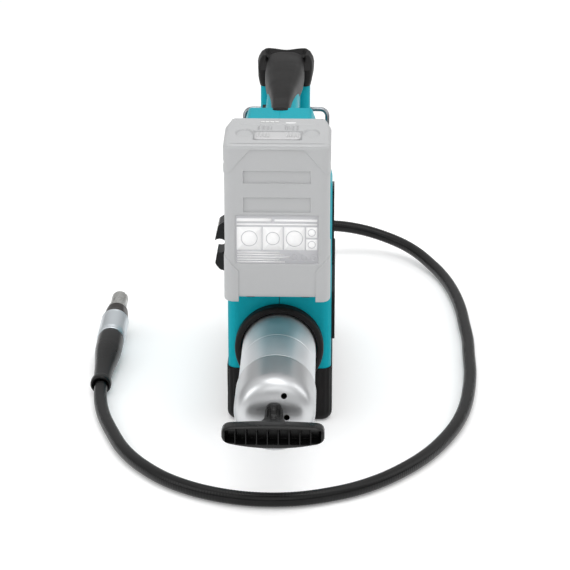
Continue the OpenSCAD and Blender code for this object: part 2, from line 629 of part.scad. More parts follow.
// A coil spring along Y as one swept surface.
module coil_y(mean_d, wire, y0, y1, turns, sides, steps, z) {
    n = turns * steps;
    rise = (y1 - y0 - wire) / n;
    points = [for (i = [0 : n], k = [0 : sides - 1])
        let (a = 360 * i / steps, b = 360 * k / sides, r = mean_d / 2 + wire / 2 * cos(b))
        [r * cos(a), y0 + wire / 2 + rise * i + wire / 2 * sin(b), z + r * sin(a)]];
    polyhedron(points, [
        [for (k = [0 : sides - 1]) sides - 1 - k],
        for (i = [0 : n - 1], k = [0 : sides - 1]) let (a = i * sides + k, b = i * sides + (k + 1) % sides)
            [a, b, b + sides, a + sides],
        [for (k = [0 : sides - 1]) n * sides + k]], convexity = 10);
}
module valve_spring() color(steel)
    coil_y(5, 0.8, ball_y + ball_d / 2 + 0.1, head_y1 + spring_room, 2, 6, 12, outlet_z);

fitting_y = front_y + 9;         // front end of the fitting, where the hose starts
module outlet_fitting() color(steel) difference() {
    union() {
        rod_y(14, head_y1 + spring_room, front_y, 0, outlet_z);
        translate([0, front_y, outlet_z]) rotate([-90, 0, 0]) cylinder(d = 19.6, h = 5, $fn = 6);
        rod_y(hose_d - 1, front_y + 5, fitting_y, 0, outlet_z);
    }
    rod_y(4, head_y1, fitting_y + eps, 0, outlet_z);
}
bleed_step = 2.5;
module bleed_valve() color(steel) {
    rod_y(6, head_y1 - 2, front_y + bleed_step - 2, 0, bleed_z);
    rod_y(9, front_y + bleed_step - 2 + gap, front_y + 6, 0, bleed_z);
    rod_y(6, front_y, front_y + 3, 0, bleed_z);
}
module relief_valve() color([0.75, 0.6, 0.3]) {
    rod_x(8, 12, 22, 36, barrel_z - 4);
    translate([22, 36, barrel_z - 4]) rotate([0, 90, 0]) cylinder(d = 13, h = 5, $fn = 6);
}

// ---- barrel --------------------------------------------------------------------------

cap_y = rear_y - barrel_out;     // rear face of the end cap
skirt_y = cap_y + 51;            // front rim of the end cap's skirt
cap_t = 1.2;
module barrel_seal() color(black) ring_y(barrel_d - 2.2, barrel_d - 10, seat_y, seat_y + 1.9);
module barrel_tube() color(steel) difference() {
    ring_y(barrel_d, barrel_d - 2 * barrel_wall, cap_y + cap_r + 4, seat_y);
    ring_y(barrel_d + eps, barrel_d - 0.6, rear_y - 50.6, rear_y - 50);
}
module end_cap() color(steel) difference() {
    turned_y(rounded([
        [0, cap_y, 0], [barrel_d / 2 + cap_t, cap_y, cap_r],
        [barrel_d / 2 + cap_t, skirt_y, 0.4], [0, skirt_y, 0]], 12));
    turned_y(rounded([
        [0, cap_y + 1.6, 0], [barrel_d / 2 - 0.4, cap_y + 1.6, cap_r - 1.8],
        [barrel_d / 2 - 0.4, cap_y + cap_r + 4, 0], [barrel_d / 2, cap_y + cap_r + 4, 0],
        [barrel_d / 2, skirt_y + eps, 0], [0, skirt_y + eps, 0]], 12));
    rod_y(rod_d + 2 * fit, cap_y - eps, cap_y + 10);
    rod_y(4.5, cap_y - eps, cap_y + 10, 7.2, barrel_z + 18);
    rod_y(4.5, cap_y - eps, cap_y + 10, 9.2, barrel_z + 1.5);
}
module grease_cartridge() color([0.85, 0.8, 0.6])
    ring_y(barrel_d - 2 * barrel_wall - 1, barrel_d - 2 * barrel_wall - 4, cap_y + cap_r + 6, seat_y - 1);
cup_y = seat_y - 12;
cup_d = barrel_d - 2 * barrel_wall - 4 - 2 * gap;
module follower_cup() color(black) difference() {
    rod_y(cup_d, cup_y - 10, cup_y + 6);
    ring_y(cup_d - 3, rod_d + 8, cup_y - 11, cup_y + 2);
    rod_y(rod_d, cup_y - 11, cup_y + 3);
}
module follower_spring() color(steel) coil_y(cup_d - 9, 2.4, cap_y + 3.4, cup_y + 2, 13, 6, 14, barrel_z);
tee_y = cap_y - 17;              // front face of the T-handle's bar
tee_d = 15;                      // thickness of the bar, front to back
module follower_rod() color(steel) rod_y(rod_d, tee_y - 4, cup_y + 3);
tee_pocket = (tee_w - 12) / 8;
module t_handle() color(black) difference() {
    union() {
        plate_xz(rounded([
            [-tee_w / 2, barrel_z - 5, 5], [-tee_w / 4, barrel_z - 6.6, 40], [0, barrel_z - 8, 30],
            [tee_w / 4, barrel_z - 6.6, 40], [tee_w / 2, barrel_z - 5, 5],
            [tee_w / 2, barrel_z + 6.5, 5], [0, barrel_z + 8, 80], [-tee_w / 2, barrel_z + 6.5, 5]]),
            tee_y - tee_d, tee_y);
        intersection() {
            plate_xy(rounded([
                [-6.7, cap_y - gap, 0], [-7, tee_y + 7, 8], [-16, tee_y, 0], [16, tee_y, 0],
                [7, tee_y + 7, 8], [6.7, cap_y - gap, 0]]), barrel_z - 7, barrel_z + 7);
            rod_y(34, tee_y - 1, cap_y);
        }
    }
    rod_y(rod_d, tee_y - 4, cap_y + eps);
    for (i = [0 : 3], side = [-1, 1]) translate([side * (6.8 + i * tee_pocket), 0, 0])
        plate_xz(box_outline(-3, 3, barrel_z - 5, barrel_z + 5, 1), tee_y - tee_d - eps, tee_y - 5);
    block(-2.2, 2.2, tee_y - tee_d - eps, tee_y - 5, barrel_z - 5, barrel_z + 5);
}

// ---- hanger bail ---------------------------------------------------------------------

bail_w = nose_half * 2 + 7.5;    // between the centres of the bail's legs
bail_h = 81;
bail_lean = 15.5;                // how far the bail leans forward of upright
bail_r = 10;
module wire_corner(side) translate([side * (bail_w / 2 - bail_r), 0, bail_h - bail_r]) rotate([90, 0, 0])
    rotate([0, 0, side > 0 ? 0 : 90]) rotate_extrude(angle = 90) translate([bail_r, 0]) circle(d = wire_d);
module hanger_bail() color(steel) translate([0, bail_y, bail_z]) rotate([-bail_lean, 0, 0]) {
    rod_x(wire_d, bail_r - bail_w / 2, bail_w / 2 - bail_r, 0, bail_h);
    for (side = [-1, 1]) {
        wire_corner(side);
        rod_z(wire_d, 0, bail_h - bail_r, side * bail_w / 2, 0);
        translate([side * bail_w / 2, 0, 0]) sphere(d = wire_d);
        rod_x(wire_d, side > 0 ? nose_half - wall - 1 : -bail_w / 2,
            side > 0 ? bail_w / 2 : wall + 1 - nose_half, 0, 0);
    }
}

// ---- hose and coupler ----------------------------------------------------------------

// The middle of the hose, from the outlet fitting to the coupler's boot.
hose_route = [
    [0, fitting_y, outlet_z], [-1, 160, 50], [-7, 205, 47], [-10, 241, 43], [-5, 264, 39],
    [9, 284, 35], [28, 296, 31], [50, 302, 28], [70, 304, 24], [90, 301, 19], [109, 289, 15],
    [123, 272, 12], [134, 252, 9], [143, 230, 7], [150, 203, 6], [155, 170, 6], [158, 135, 6],
    [159, 100, 6], [160, 64, 6], [159, 28, 6], [158, -8, 6], [155, -44, 6], [150, -80, 6],
    [142, -113, 6], [131, -143, 6], [116, -173, 6], [97, -200, 6], [75, -223, 6], [50, -240, 6],
    [17, -252, 6], [-17, -253, 6], [-50, -243, 6], [-79, -224, 6], [-102, -198, 6], [-119, -169, 6],
    [-131, -137, 6], [-141, -104, 6], [-147, -72, 7], [-149, -40, 9.5], [-149, -20, 11]];
hose_in_boot = 20;               // length of hose inside the boot, along the coupler's axis
hose_sides = 10;
// The direction of the route at its point i.
function along(p, i) = i == 0 ? [0, 1, 0] : i == len(p) - 1 ? coupler_way
    : unit(unit(p[i + 1] - p[i]) + unit(p[i] - p[i - 1]));
// A tube of diameter d along the points p, with a ring of points across the route at each one.
module sweep(p, d, sides) {
    last = len(p) - 1;
    points = [for (i = [0 : last], k = [0 : sides - 1])
        let (t = along(p, i), s = unit(cross(t, [0, 0, 1])), u = cross(s, t), a = 360 * k / sides)
        p[i] + d / 2 * (cos(a) * s + sin(a) * u)];
    polyhedron(points, [
        [for (k = [0 : sides - 1]) k],
        for (i = [0 : last - 1], k = [0 : sides - 1])
            let (a = i * sides + k, b = i * sides + (k + 1) % sides)
            [a, a + sides, b + sides, b],
        [for (k = [0 : sides - 1]) last * sides + sides - 1 - k]], convexity = 10);
}
module delivery_hose() color(black) sweep(hose_route, hose_d, hose_sides);

guard_len = 33;
module hose_guard() color(black) difference() {
    turned_y(rounded([
        [0, front_y + 5, 0], [10, front_y + 5, 1], [10, front_y + 13, 1], [8.6, front_y + 15, 1],
        [7.2, front_y + 5 + guard_len, 1], [0, front_y + 5 + guard_len, 0]]), 0, outlet_z);
    rod_y(hose_d - 1, front_y, fitting_y, 0, outlet_z);
    rod_y(hose_d + 0.6, fitting_y, front_y + 50, 0, outlet_z);
    for (k = [0 : 3]) ring_y(24, 14.6, front_y + 18 + 5 * k, front_y + 19.5 + 5 * k, 0, outlet_z);
}

coupler_tilt = 4.2;
coupler_way = [0, cos(coupler_tilt), sin(coupler_tilt)];
coupler_at = hose_route[len(hose_route) - 1] - hose_in_boot * coupler_way;
boot_len = 86;
sleeve_len = 38;
ring_len = 17;
// Puts a piece that is turned round Z onto the coupler's axis.
module on_coupler() translate(coupler_at) rotate([coupler_tilt - 90, 0, 0]) children();
module coupler_boot() color(black) on_coupler() difference() {
    rotate_extrude() polygon(rounded([
        [0, -12, 0], [8.6, -12, 2.5], [8.6, -5, 2.5], [7.2, -3, 1], [7.4, 20, 20], [11.2, 52, 30],
        [11.4, boot_len - 12, 0], [0, boot_len - 12, 0]]));
    translate([0, 0, -12 - eps]) cylinder(d = hose_d + 1.8, h = 12 + eps + hose_in_boot);
    cylinder(d = 6, h = boot_len);
}
module coupler_sleeve() color(alloy) on_coupler() translate([0, 0, boot_len - 12]) difference() {
    rotate_extrude() polygon(rounded([
        [0, 0, 0], [sleeve_d / 2, 0, 0.6], [sleeve_d / 2, sleeve_len, 1], [0, sleeve_len, 0]]));
    translate([0, 0, -eps]) cylinder(d = 6, h = 12 + eps);
    translate([0, 0, 8]) cylinder(d = 14 + 2 * fit, h = sleeve_len);
}
ring_z = boot_len - 12 + sleeve_len;     // the turning ring's rear face, along the coupler's axis
module coupler_ring() color(black) on_coupler() difference() {
    union() {
        translate([0, 0, ring_z + 0.2]) cylinder(d1 = sleeve_d - 1.6, d2 = nose_d + 3, h = ring_len);
        translate([0, 0, ring_z - 24]) cylinder(d = 14, h = 24 + eps);
    }
    translate([0, 0, ring_z - 25]) cylinder(d = 5, h = 60);
    translate([0, 0, ring_z + 7]) cylinder(d = 11, h = 20);
}
nose_len = 33;
module coupler_nose() color(steel) on_coupler() translate([0, 0, ring_z]) difference() {
    rotate_extrude() polygon(rounded([
        [0, 7, 0], [5.5, 7, 0], [5.5, ring_len + 0.2, 0], [nose_d / 2 + 1, ring_len + 0.2, 0.6],
        [nose_d / 2 + 1, ring_len + 7, 1], [nose_d / 2 - 0.4, ring_len + 9, 1],
        [nose_d / 2 - 0.4, ring_len + nose_len - 4, 2], [nose_d / 2 - 2.6, ring_len + nose_len, 1],
        [0, ring_len + nose_len, 0]]));
    translate([0, 0, 6]) cylinder(d = 5, h = 60);
    translate([0, 0, ring_len + 12]) cylinder(d = 10, h = nose_len - 13.5);
    translate([0, 0, ring_len + 12]) cylinder(d = 7.2, h = nose_len);
}
module coupler_jaws() color([0.4, 0.4, 0.42]) on_coupler()
    translate([0, 0, ring_z + ring_len + 20]) difference() {
    cylinder(d = 9.8, h = 9);
    translate([0, 0, -eps]) cylinder(d = 6.6, h = 12);
    for (a = [0 : 120 : 359]) rotate([0, 0, a]) translate([0, -0.3, -eps]) cube([8, 0.6, 12]);
}

left_housing();
right_housing();
base_bumper();
handle_grip();
head_bumper();
collar_ring();
housing_screws();
side_panel();
side_strip();
hose_clip();
battery_dock();
dock_contacts();
work_lamp();
flow_dial();
lock_button();
trigger();
trigger_pin();
switch_body();
control_board();
motor_stator();
motor_rotor();
motor_shaft();
cooling_fan();
rear_bearing();
front_bearing();
reduction_gear();
reduction_pin();
crank_gear();
gearbox_case();
gearbox_cover();
plunger_yoke();
pump_plunger();
pump_head();
valve_ball();
valve_spring();
outlet_fitting();
bleed_valve();
relief_valve();
barrel_seal();
barrel_tube();
end_cap();
grease_cartridge();
follower_cup();
follower_spring();
follower_rod();
t_handle();
battery_case();
battery_cover();
battery_label();
battery_latch();
charge_button();
battery_cells();
hanger_bail();
hose_guard();
delivery_hose();
coupler_boot();
coupler_sleeve();
coupler_ring();
coupler_nose();
coupler_jaws();
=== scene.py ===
import json
import math

import bpy
import numpy as np
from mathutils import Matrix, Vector


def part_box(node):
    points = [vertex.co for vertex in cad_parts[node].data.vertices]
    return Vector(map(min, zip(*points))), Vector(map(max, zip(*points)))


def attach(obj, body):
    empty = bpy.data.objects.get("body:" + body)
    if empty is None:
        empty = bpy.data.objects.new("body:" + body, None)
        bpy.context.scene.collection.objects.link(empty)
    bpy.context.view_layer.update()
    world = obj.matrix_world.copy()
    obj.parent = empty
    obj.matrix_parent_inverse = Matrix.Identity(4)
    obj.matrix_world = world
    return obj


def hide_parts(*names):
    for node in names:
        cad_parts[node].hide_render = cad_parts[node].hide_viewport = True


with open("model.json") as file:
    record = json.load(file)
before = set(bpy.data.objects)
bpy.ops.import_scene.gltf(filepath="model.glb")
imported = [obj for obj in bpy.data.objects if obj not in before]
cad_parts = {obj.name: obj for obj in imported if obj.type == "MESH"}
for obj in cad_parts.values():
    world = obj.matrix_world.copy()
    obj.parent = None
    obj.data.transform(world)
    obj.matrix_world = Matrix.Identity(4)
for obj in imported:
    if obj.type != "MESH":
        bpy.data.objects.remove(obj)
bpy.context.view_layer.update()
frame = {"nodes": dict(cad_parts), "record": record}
nodes = frame["nodes"]
MM = 0.001


def span(node):
    """Lowest and highest corner of a CAD node as two arrays, in millimetres."""
    low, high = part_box(node)
    return np.array(low) / MM, np.array(high) / MM


# ---- camera, light and floor ------------------------------------------------------------


def make_camera():
    """A long lens that looks down on the barrel's end from behind the tool."""
    data = bpy.data.cameras.new("camera")
    data.sensor_width = 36.0
    data.lens = 132.6
    data.clip_end = 20.0
    camera = bpy.data.objects.new("camera", data)
    camera.location = (0.0421, -1.641, 0.693)
    camera.rotation_euler = (math.radians(69.5), 0, math.radians(1.4))
    bpy.context.scene.collection.objects.link(camera)
    bpy.context.scene.camera = camera


def soft_box(name, place, aim, size, power):
    """A rectangular area light at place that faces aim."""
    data = bpy.data.lights.new(name, "AREA")
    data.shape = "RECTANGLE"
    data.size, data.size_y = size
    data.energy = power
    lamp = bpy.data.objects.new(name, data)
    lamp.location = place
    lamp.rotation_euler = (Vector(aim) - Vector(place)).to_track_quat("-Z", "Y").to_euler()
    bpy.context.scene.collection.objects.link(lamp)


def make_studio():
    """A pale floor, a pale sky that darkens towards the horizon, and soft boxes."""
    floor_half = 12.0
    mesh = bpy.data.meshes.new("studio_floor")
    corners = [(-floor_half, -floor_half, 0), (floor_half, -floor_half, 0),
               (floor_half, floor_half, 0), (-floor_half, floor_half, 0)]
    mesh.from_pydata(corners, [], [(0, 1, 2, 3)])
    floor = bpy.data.objects.new("studio_floor", mesh)
    bpy.context.scene.collection.objects.link(floor)
    floor.data.materials.append(floor_paper())
    sky = bpy.data.worlds.new("studio")
    sky.use_nodes = True
    tree = sky.node_tree
    back = tree.nodes["Background"]
    where = tree.nodes.new("ShaderNodeTexCoord")
    split = tree.nodes.new("ShaderNodeSeparateXYZ")
    ramp = tree.nodes.new("ShaderNodeValToRGB")
    shift = tree.nodes.new("ShaderNodeMapRange")
    tree.links.new(where.outputs["Generated"], split.inputs[0])
    tree.links.new(split.outputs["Z"], shift.inputs["Value"])
    shift.inputs["From Min"].default_value = -1.0
    shift.inputs["From Max"].default_value = 1.0
    tree.links.new(shift.outputs[0], ramp.inputs[0])
    ramp.color_ramp.elements[0].position = 0.5
    ramp.color_ramp.elements[0].color = (0.35, 0.35, 0.35, 1)
    ramp.color_ramp.elements[1].position = 0.8
    ramp.color_ramp.elements[1].color = (1, 1, 1, 1)
    tree.links.new(ramp.outputs[0], back.inputs["Color"])
    back.inputs["Strength"].default_value = 0.85
    bpy.context.scene.world = sky
    soft_box("box_above", (0.1, -0.25, 1.9), (0, -0.1, 0.1), (1.2, 1.6), 12)
    soft_box("box_left", (-1.7, -0.9, 1.1), (0, -0.05, 0.1), (0.8, 1.4), 8)
    soft_box("box_front", (0.3, -2.4, 1.5), (0, -0.05, 0.1), (2.4, 1.0), 8)
    soft_box("box_right", (1.8, 0.2, 1.2), (0, 0, 0.1), (0.9, 1.4), 6)


# ---- finishes ---------------------------------------------------------------------------


class Shader:
    """The node tree of one finish, with short calls for the nodes that it uses."""

    def __init__(self, name):
        self.material = bpy.data.materials.new(name)
        self.material.use_nodes = True
        self.tree = self.material.node_tree
        self.surface = self.tree.nodes["Principled BSDF"]

    def node(self, kind, inputs=(), **settings):
        made = self.tree.nodes.new("ShaderNode" + kind)
        for key, value in settings.items():
            setattr(made, key, value)
        for key, value in dict(inputs).items():
            self.feed(made.inputs[key], value)
        return made

    def feed(self, socket, value):
        """Sets a socket to a plain value, or links it to another node's first output or to a socket."""
        if isinstance(value, bpy.types.Node):
            value = value.outputs[0]
        if isinstance(value, bpy.types.NodeSocket):
            self.tree.links.new(value, socket)
        else:
            socket.default_value = value

    def place(self, scale=(1, 1, 1), centre=(0, 0, 0)):
        """Object coordinates, moved so that centre is zero and then scaled."""
        where = self.node("TexCoord").outputs["Object"]
        moved = self.node("VectorMath", {0: where, 1: centre}, operation="SUBTRACT")
        return self.node("VectorMath", {0: moved, 1: scale}, operation="MULTIPLY")

    def noise(self, size, detail=3.0, where=None):
        """Noise from 0 to 1 with features about size metres across."""
        where = where or self.node("TexCoord").outputs["Object"]
        return self.node("TexNoise", {"Vector": where, "Scale": 1 / size, "Detail": detail})

    def math(self, operation, a, b=0.0, clamp=False):
        return self.node("Math", {0: a, 1: b}, operation=operation, use_clamp=clamp)

    def range(self, value, low, high, to_low=0.0, to_high=1.0):
        return self.node("MapRange", {"Value": value, "From Min": low, "From Max": high,
                                      "To Min": to_low, "To Max": to_high})

    def blend(self, amount, first, second):
        """A colour between first and second."""
        made = self.node("Mix", data_type="RGBA")
        self.feed(made.inputs["Factor"], amount)
        self.feed(made.inputs["A"], first if not isinstance(first, tuple) else (*first, 1))
        self.feed(made.inputs["B"], second if not isinstance(second, tuple) else (*second, 1))
        return made.outputs["Result"]

    def relief(self, height, depth, normal=None):
        """Bump whose height of 0 to 1 stands for depth metres, over a given normal such as softened edges
        where one is passed.
        """
        inputs = {"Height": height, "Distance": depth, "Strength": 1.0}
        if normal:
            inputs["Normal"] = normal
        self.feed(self.surface.inputs["Normal"], self.node("Bump", inputs))

    def soft_edges(self, radius):
        return self.node("Bevel", {"Radius": radius}, samples=4).outputs[0]

    def set(self, **values):
        """Sets the shader's sockets by their names, with spaces as underscores."""
        for key, value in values.items():
            self.feed(self.surface.inputs[key.replace("_", " ")], value)
        return self.material


def floor_paper():
    """Matt white paper that is lit a little from below."""
    return Shader("floor_paper").set(Base_Color=(0.93, 0.93, 0.93, 1), Roughness=0.9,
                                     Emission_Color=(1, 1, 1, 1), Emission_Strength=0.14)


def moulded(name, color, roughness, grain, depth, shade=0.82, edge=0.0, specular=0.5, coat=0.0):
    """Moulded plastic or rubber: fine grain in the mould, faint cloudy shade, and smoother worn spots."""
    s = Shader(name)
    cloud = s.noise(0.035, 4.0)
    dust = s.noise(0.0022, 2.0)
    tone = s.math("MULTIPLY_ADD", cloud, 0.7)
    tone.inputs[2].default_value = 0.15
    speck = s.math("MULTIPLY", dust, 0.3)
    amount = s.math("ADD", tone, speck, clamp=True)
    darker = tuple(c * shade for c in color)
    lighter = tuple(min(1.0, c * (2 - shade) + 0.004) for c in color)
    s.set(Base_Color=s.blend(amount, darker, lighter),
          Roughness=s.range(cloud, 0.3, 0.7, roughness - 0.06, roughness + 0.06),
          Specular_IOR_Level=specular)
    if coat:
        s.set(Coat_Weight=coat, Coat_Roughness=0.18)
    s.relief(s.noise(grain, 2.0), depth, s.soft_edges(edge) if edge else None)
    return s.material


def turned_metal(name, color, roughness, centre, pitch=0.0004, depth=0.000012, radial=False, stain=0.9):
    """Metal with fine rings round an axis along Y: noise that changes along Y, or with the radius
    where radial."""
    s = Shader(name)
    moved = s.place((1, 1, 1), centre)
    parts = s.node("SeparateXYZ", {0: moved})
    across = s.node("CombineXYZ", {0: parts.outputs[0], 1: 0.0, 2: parts.outputs[2]})
    radius = s.node("VectorMath", {0: across}, operation="LENGTH").outputs["Value"]
    along = s.math("MULTIPLY", parts.outputs[1], 1 / pitch)
    outward = s.math("MULTIPLY", radius, (1 / pitch) if radial else 20.0)
    turn = s.math("ARCTAN2", parts.outputs[0], parts.outputs[2])
    where = s.node("CombineXYZ", {0: along, 1: outward, 2: s.math("MULTIPLY", turn, 1.5)})
    rings = s.node("TexNoise", {"Vector": where, "Scale": 1.0, "Detail": 2.0})
    cloud = s.noise(0.02, 4.0)
    darker = tuple(c * stain for c in color)
    shade = s.math("ADD", s.math("MULTIPLY", rings, 0.5), s.math("MULTIPLY", cloud, 0.5))
    s.set(Base_Color=s.blend(shade, darker, color),
          Metallic=1.0,
          Roughness=s.range(s.math("ADD", rings, cloud), 0.7, 1.3, roughness - 0.05, roughness + 0.07))
    s.relief(rings, depth)
    return s.material


def bare_metal(name, color, roughness, grain=0.0006, depth=0.00001, edge=0.0003, wear=0.85):
    """Machined or blasted metal: fine grain, cloudy shade and duller patches."""
    s = Shader(name)
    cloud = s.noise(0.012, 5.0)
    s.set(Base_Color=s.blend(cloud, tuple(c * wear for c in color), color), Metallic=1.0,
          Roughness=s.range(cloud, 0.3, 0.7, roughness - 0.05, roughness + 0.08))
    s.relief(s.noise(grain, 3.0), depth, s.soft_edges(edge))
    return s.material


def worn_steel(name, centre):
    """A steel nose with long scratches along Y, dull patches and dark dirt in the hollows of the noise."""
    s = Shader(name)
    scratch = s.noise(1.0, 3.0, s.place((900, 70, 900), centre))
    patch = s.noise(0.006, 4.0)
    dirt = s.range(s.noise(0.0035, 5.0), 0.55, 0.75)
    bright = s.blend(scratch, (0.34, 0.34, 0.33), (0.60, 0.60, 0.58))
    s.set(Base_Color=s.blend(s.math("MULTIPLY", dirt, 0.6), bright, (0.12, 0.11, 0.10)), Metallic=1.0,
          Roughness=s.range(patch, 0.3, 0.7, 0.24, 0.5))
    s.relief(scratch, 0.00005, s.soft_edges(0.0004))
    return s.material


def laminated(name):
    """Stacked sheets of iron: dark and light lines every half millimetre along Y."""
    s = Shader(name)
    parts = s.node("SeparateXYZ", {0: s.node("TexCoord").outputs["Object"]})
    sheets = s.math("SINE", s.math("MULTIPLY", parts.outputs[1], 2 * math.pi / 0.0005))
    s.set(Base_Color=s.blend(s.range(sheets, -1, 1), (0.10, 0.10, 0.11), (0.24, 0.24, 0.25)),
          Metallic=0.8, Roughness=0.45)
    s.relief(sheets, 0.00004)
    return s.material


def circuit_board(name):
    """Green solder mask over a maze of raised tracks."""
    s = Shader(name)
    tracks = s.node("TexBrick", {"Vector": s.node("TexCoord").outputs["Object"], "Scale": 260.0,
                                 "Color1": (0, 0, 0, 1), "Color2": (0.2, 0.2, 0.2, 1), "Mortar": (1, 1, 1, 1),
                                 "Mortar Size": 0.03})
    s.set(Base_Color=s.blend(tracks.outputs["Fac"], (0.01, 0.12, 0.05), (0.05, 0.3, 0.12)),
          Roughness=0.3, Coat_Weight=0.4)
    s.relief(tracks.outputs["Fac"], 0.00003)
    return s.material


def clear_lens(name):
    """Milky lamp cover with fine flutes."""
    s = Shader(name)
    parts = s.node("SeparateXYZ", {0: s.node("TexCoord").outputs["Object"]})
    flutes = s.math("SINE", s.math("MULTIPLY", parts.outputs[0], 2 * math.pi / 0.0012))
    s.set(Base_Color=s.blend(s.noise(0.004), (0.78, 0.79, 0.78), (0.92, 0.92, 0.9)), Roughness=0.12,
          Coat_Weight=0.6)
    s.relief(flutes, 0.00006)
    return s.material


def ribbed_rubber(name):
    """Shiny black hose cover with dust in the ribs: a fine grain over the modelled ribs."""
    s = Shader(name)
    dust = s.noise(0.011, 4.0)
    s.set(Base_Color=s.blend(s.range(dust, 0.4, 0.8), (0.002, 0.002, 0.002), (0.005, 0.005, 0.005)),
          Roughness=s.range(dust, 0.3, 0.7, 0.18, 0.26), Specular_IOR_Level=0.25)
    s.relief(s.noise(0.0006, 2.0), 0.00002)
    return s.material


# ---- surfaces ---------------------------------------------------------------------------


def smooth(t):
    """0 below 0, 1 above 1, and 3t^2 - 2t^3 between."""
    t = np.clip(t, 0, 1)
    return t * t * (3 - 2 * t)


def within(value, low, high, soft=0.5):
    """1 inside low to high and 0 outside, with a smooth step soft wide outside each end."""
    return smooth((value - low + soft) / soft) * smooth((high + soft - value) / soft)


def up_to(value, high, soft=0.5):
    """1 up to high and 0 beyond it, with a smooth step soft wide."""
    return smooth((high + soft - value) / soft)


def beyond(value, low, soft=0.5):
    """1 from low on and 0 before it, with a smooth step soft wide."""
    return smooth((value - low + soft) / soft)


def level(row, value):
    """One ring of a grid with the same value at every point of the row."""
    return np.full((1, len(row)), float(value))


def rounded(corners, steps=8):
    """Outline through corners (a, b, radius): each corner is an arc that is tangent to both of its sides."""
    points = []
    count = len(corners)
    for i, (x, y, r) in enumerate(corners):
        here = np.array([x, y], float)
        before = np.array(corners[i - 1][:2], float) - here
        after = np.array(corners[(i + 1) % count][:2], float) - here
        if r <= 0:
            points.append(here[None])
            continue
        u, v = before / np.linalg.norm(before), after / np.linalg.norm(after)
        half = math.acos(np.clip(u @ v, -1, 1)) / 2
        middle = here + (u + v) / np.linalg.norm(u + v) * r / math.sin(half)
        start, end = here + u * r / math.tan(half) - middle, here + v * r / math.tan(half) - middle
        a0, a1 = math.atan2(start[1], start[0]), math.atan2(end[1], end[0])
        turn = (a1 - a0 + math.pi) % (2 * math.pi) - math.pi
        a = a0 + turn * np.linspace(0, 1, steps + 1)
        points.append(middle + r * np.c_[np.cos(a), np.sin(a)])
    return np.concatenate(points)


def spread(outline, places):
    """Points of a closed outline at given distances along it, and the outward direction at each."""
    closed = np.r_[outline, outline[:1]]
    steps = np.linalg.norm(np.diff(closed, axis=0), axis=1)
    keep = np.r_[True, steps > 1e-9]
    closed = closed[keep]
    far = np.r_[0, np.cumsum(steps[steps > 1e-9])]
    places = places % far[-1]
    at = np.c_[np.interp(places, far, closed[:, 0]), np.interp(places, far, closed[:, 1])]
    reach = 0.6
    ahead, behind = (places + reach) % far[-1], (places - reach) % far[-1]
    along = np.c_[np.interp(ahead, far, closed[:, 0]), np.interp(ahead, far, closed[:, 1])]
    along -= np.c_[np.interp(behind, far, closed[:, 0]), np.interp(behind, far, closed[:, 1])]
    along /= np.linalg.norm(along, axis=1, keepdims=True)
    return at, np.c_[along[:, 1], -along[:, 0]]


def length_round(outline):
    closed = np.r_[outline, outline[:1]]
    return np.linalg.norm(np.diff(closed, axis=0), axis=1).sum()


def stations(low, high, step, edges=(), soft=0.5):
    """Even places from low to high, with a pair more at each edge so that steps there come out crisp."""
    even = np.linspace(low, high, max(2, int(round((high - low) / step)) + 1))
    extra = np.array([e + k for e in edges for k in (-soft, -soft / 2, 0, soft / 2, soft)])
    extra = extra[(extra > low) & (extra < high)] if len(extra) else extra
    merged = np.unique(np.round(np.r_[even, extra], 4))
    keep = np.r_[True, np.diff(merged) > 0.08]
    keep[-1] = True
    return merged[keep]


def piece(name, points, faces, finish, body, replaces=(), slot=None, flat=None):
    """Puts millimetre points and faces into a mesh at the origin, smooth-shaded up to an angle, and
    rides it on a body."""
    mesh = bpy.data.meshes.new(name)
    mesh.from_pydata((np.asarray(points) * MM).tolist(), [], faces)
    mesh.validate()
    mesh.update()
    made = bpy.data.objects.new(name, mesh)
    bpy.context.scene.collection.objects.link(made)
    mesh.materials.append(finish)
    mesh.shade_smooth()
    if flat is not None:
        mesh.set_sharp_from_angle(angle=math.radians(flat))
    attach(made, body)
    if replaces:
        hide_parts(*replaces)
    return made


def quads(rows, columns, round_columns=True, round_rows=False, first=0):
    """Index of the four corners of each cell of a grid, wrapped where it closes on itself."""
    r = np.arange(rows if round_rows else rows - 1)
    c = np.arange(columns if round_columns else columns - 1)
    r, c = np.meshgrid(r, c, indexing="ij")
    below, beside = (r + 1) % rows, (c + 1) % columns
    row, next_row = r * columns, below * columns
    cells = np.stack([row + c, row + beside, next_row + beside, next_row + c], -1)
    return (cells.reshape(-1, 4) + first).tolist()


def outward(points, faces):
    """A closed shape with its faces turned outwards. Its signed volume is the sum of p . (q x r) / 6 over
    the triangles of its faces, and is above zero when they face outwards."""
    corners = [(face[0], a, b) for face in faces for a, b in zip(face[1:-1], face[2:])]
    p, q, r = (points[list(column)] for column in zip(*corners))
    volume = (p * np.cross(q, r)).sum() / 6
    return points, faces if volume > 0 else [face[::-1] for face in faces]


def closed_grid(grid):
    """Points and faces of rings of points, with each end closed by a fan round the ring's middle."""
    rows, columns = grid.shape[:2]
    points = np.r_[grid.reshape(-1, 3), grid[0].mean(0)[None], grid[-1].mean(0)[None]]
    faces = quads(rows, columns)
    c = np.arange(columns)
    beside = (c + 1) % columns
    start, end = rows * columns, rows * columns + 1
    faces += np.c_[beside, c, np.full(columns, start)].tolist()
    faces += np.c_[(rows - 1) * columns + c, (rows - 1) * columns + beside, np.full(columns, end)].tolist()
    return outward(points, faces)


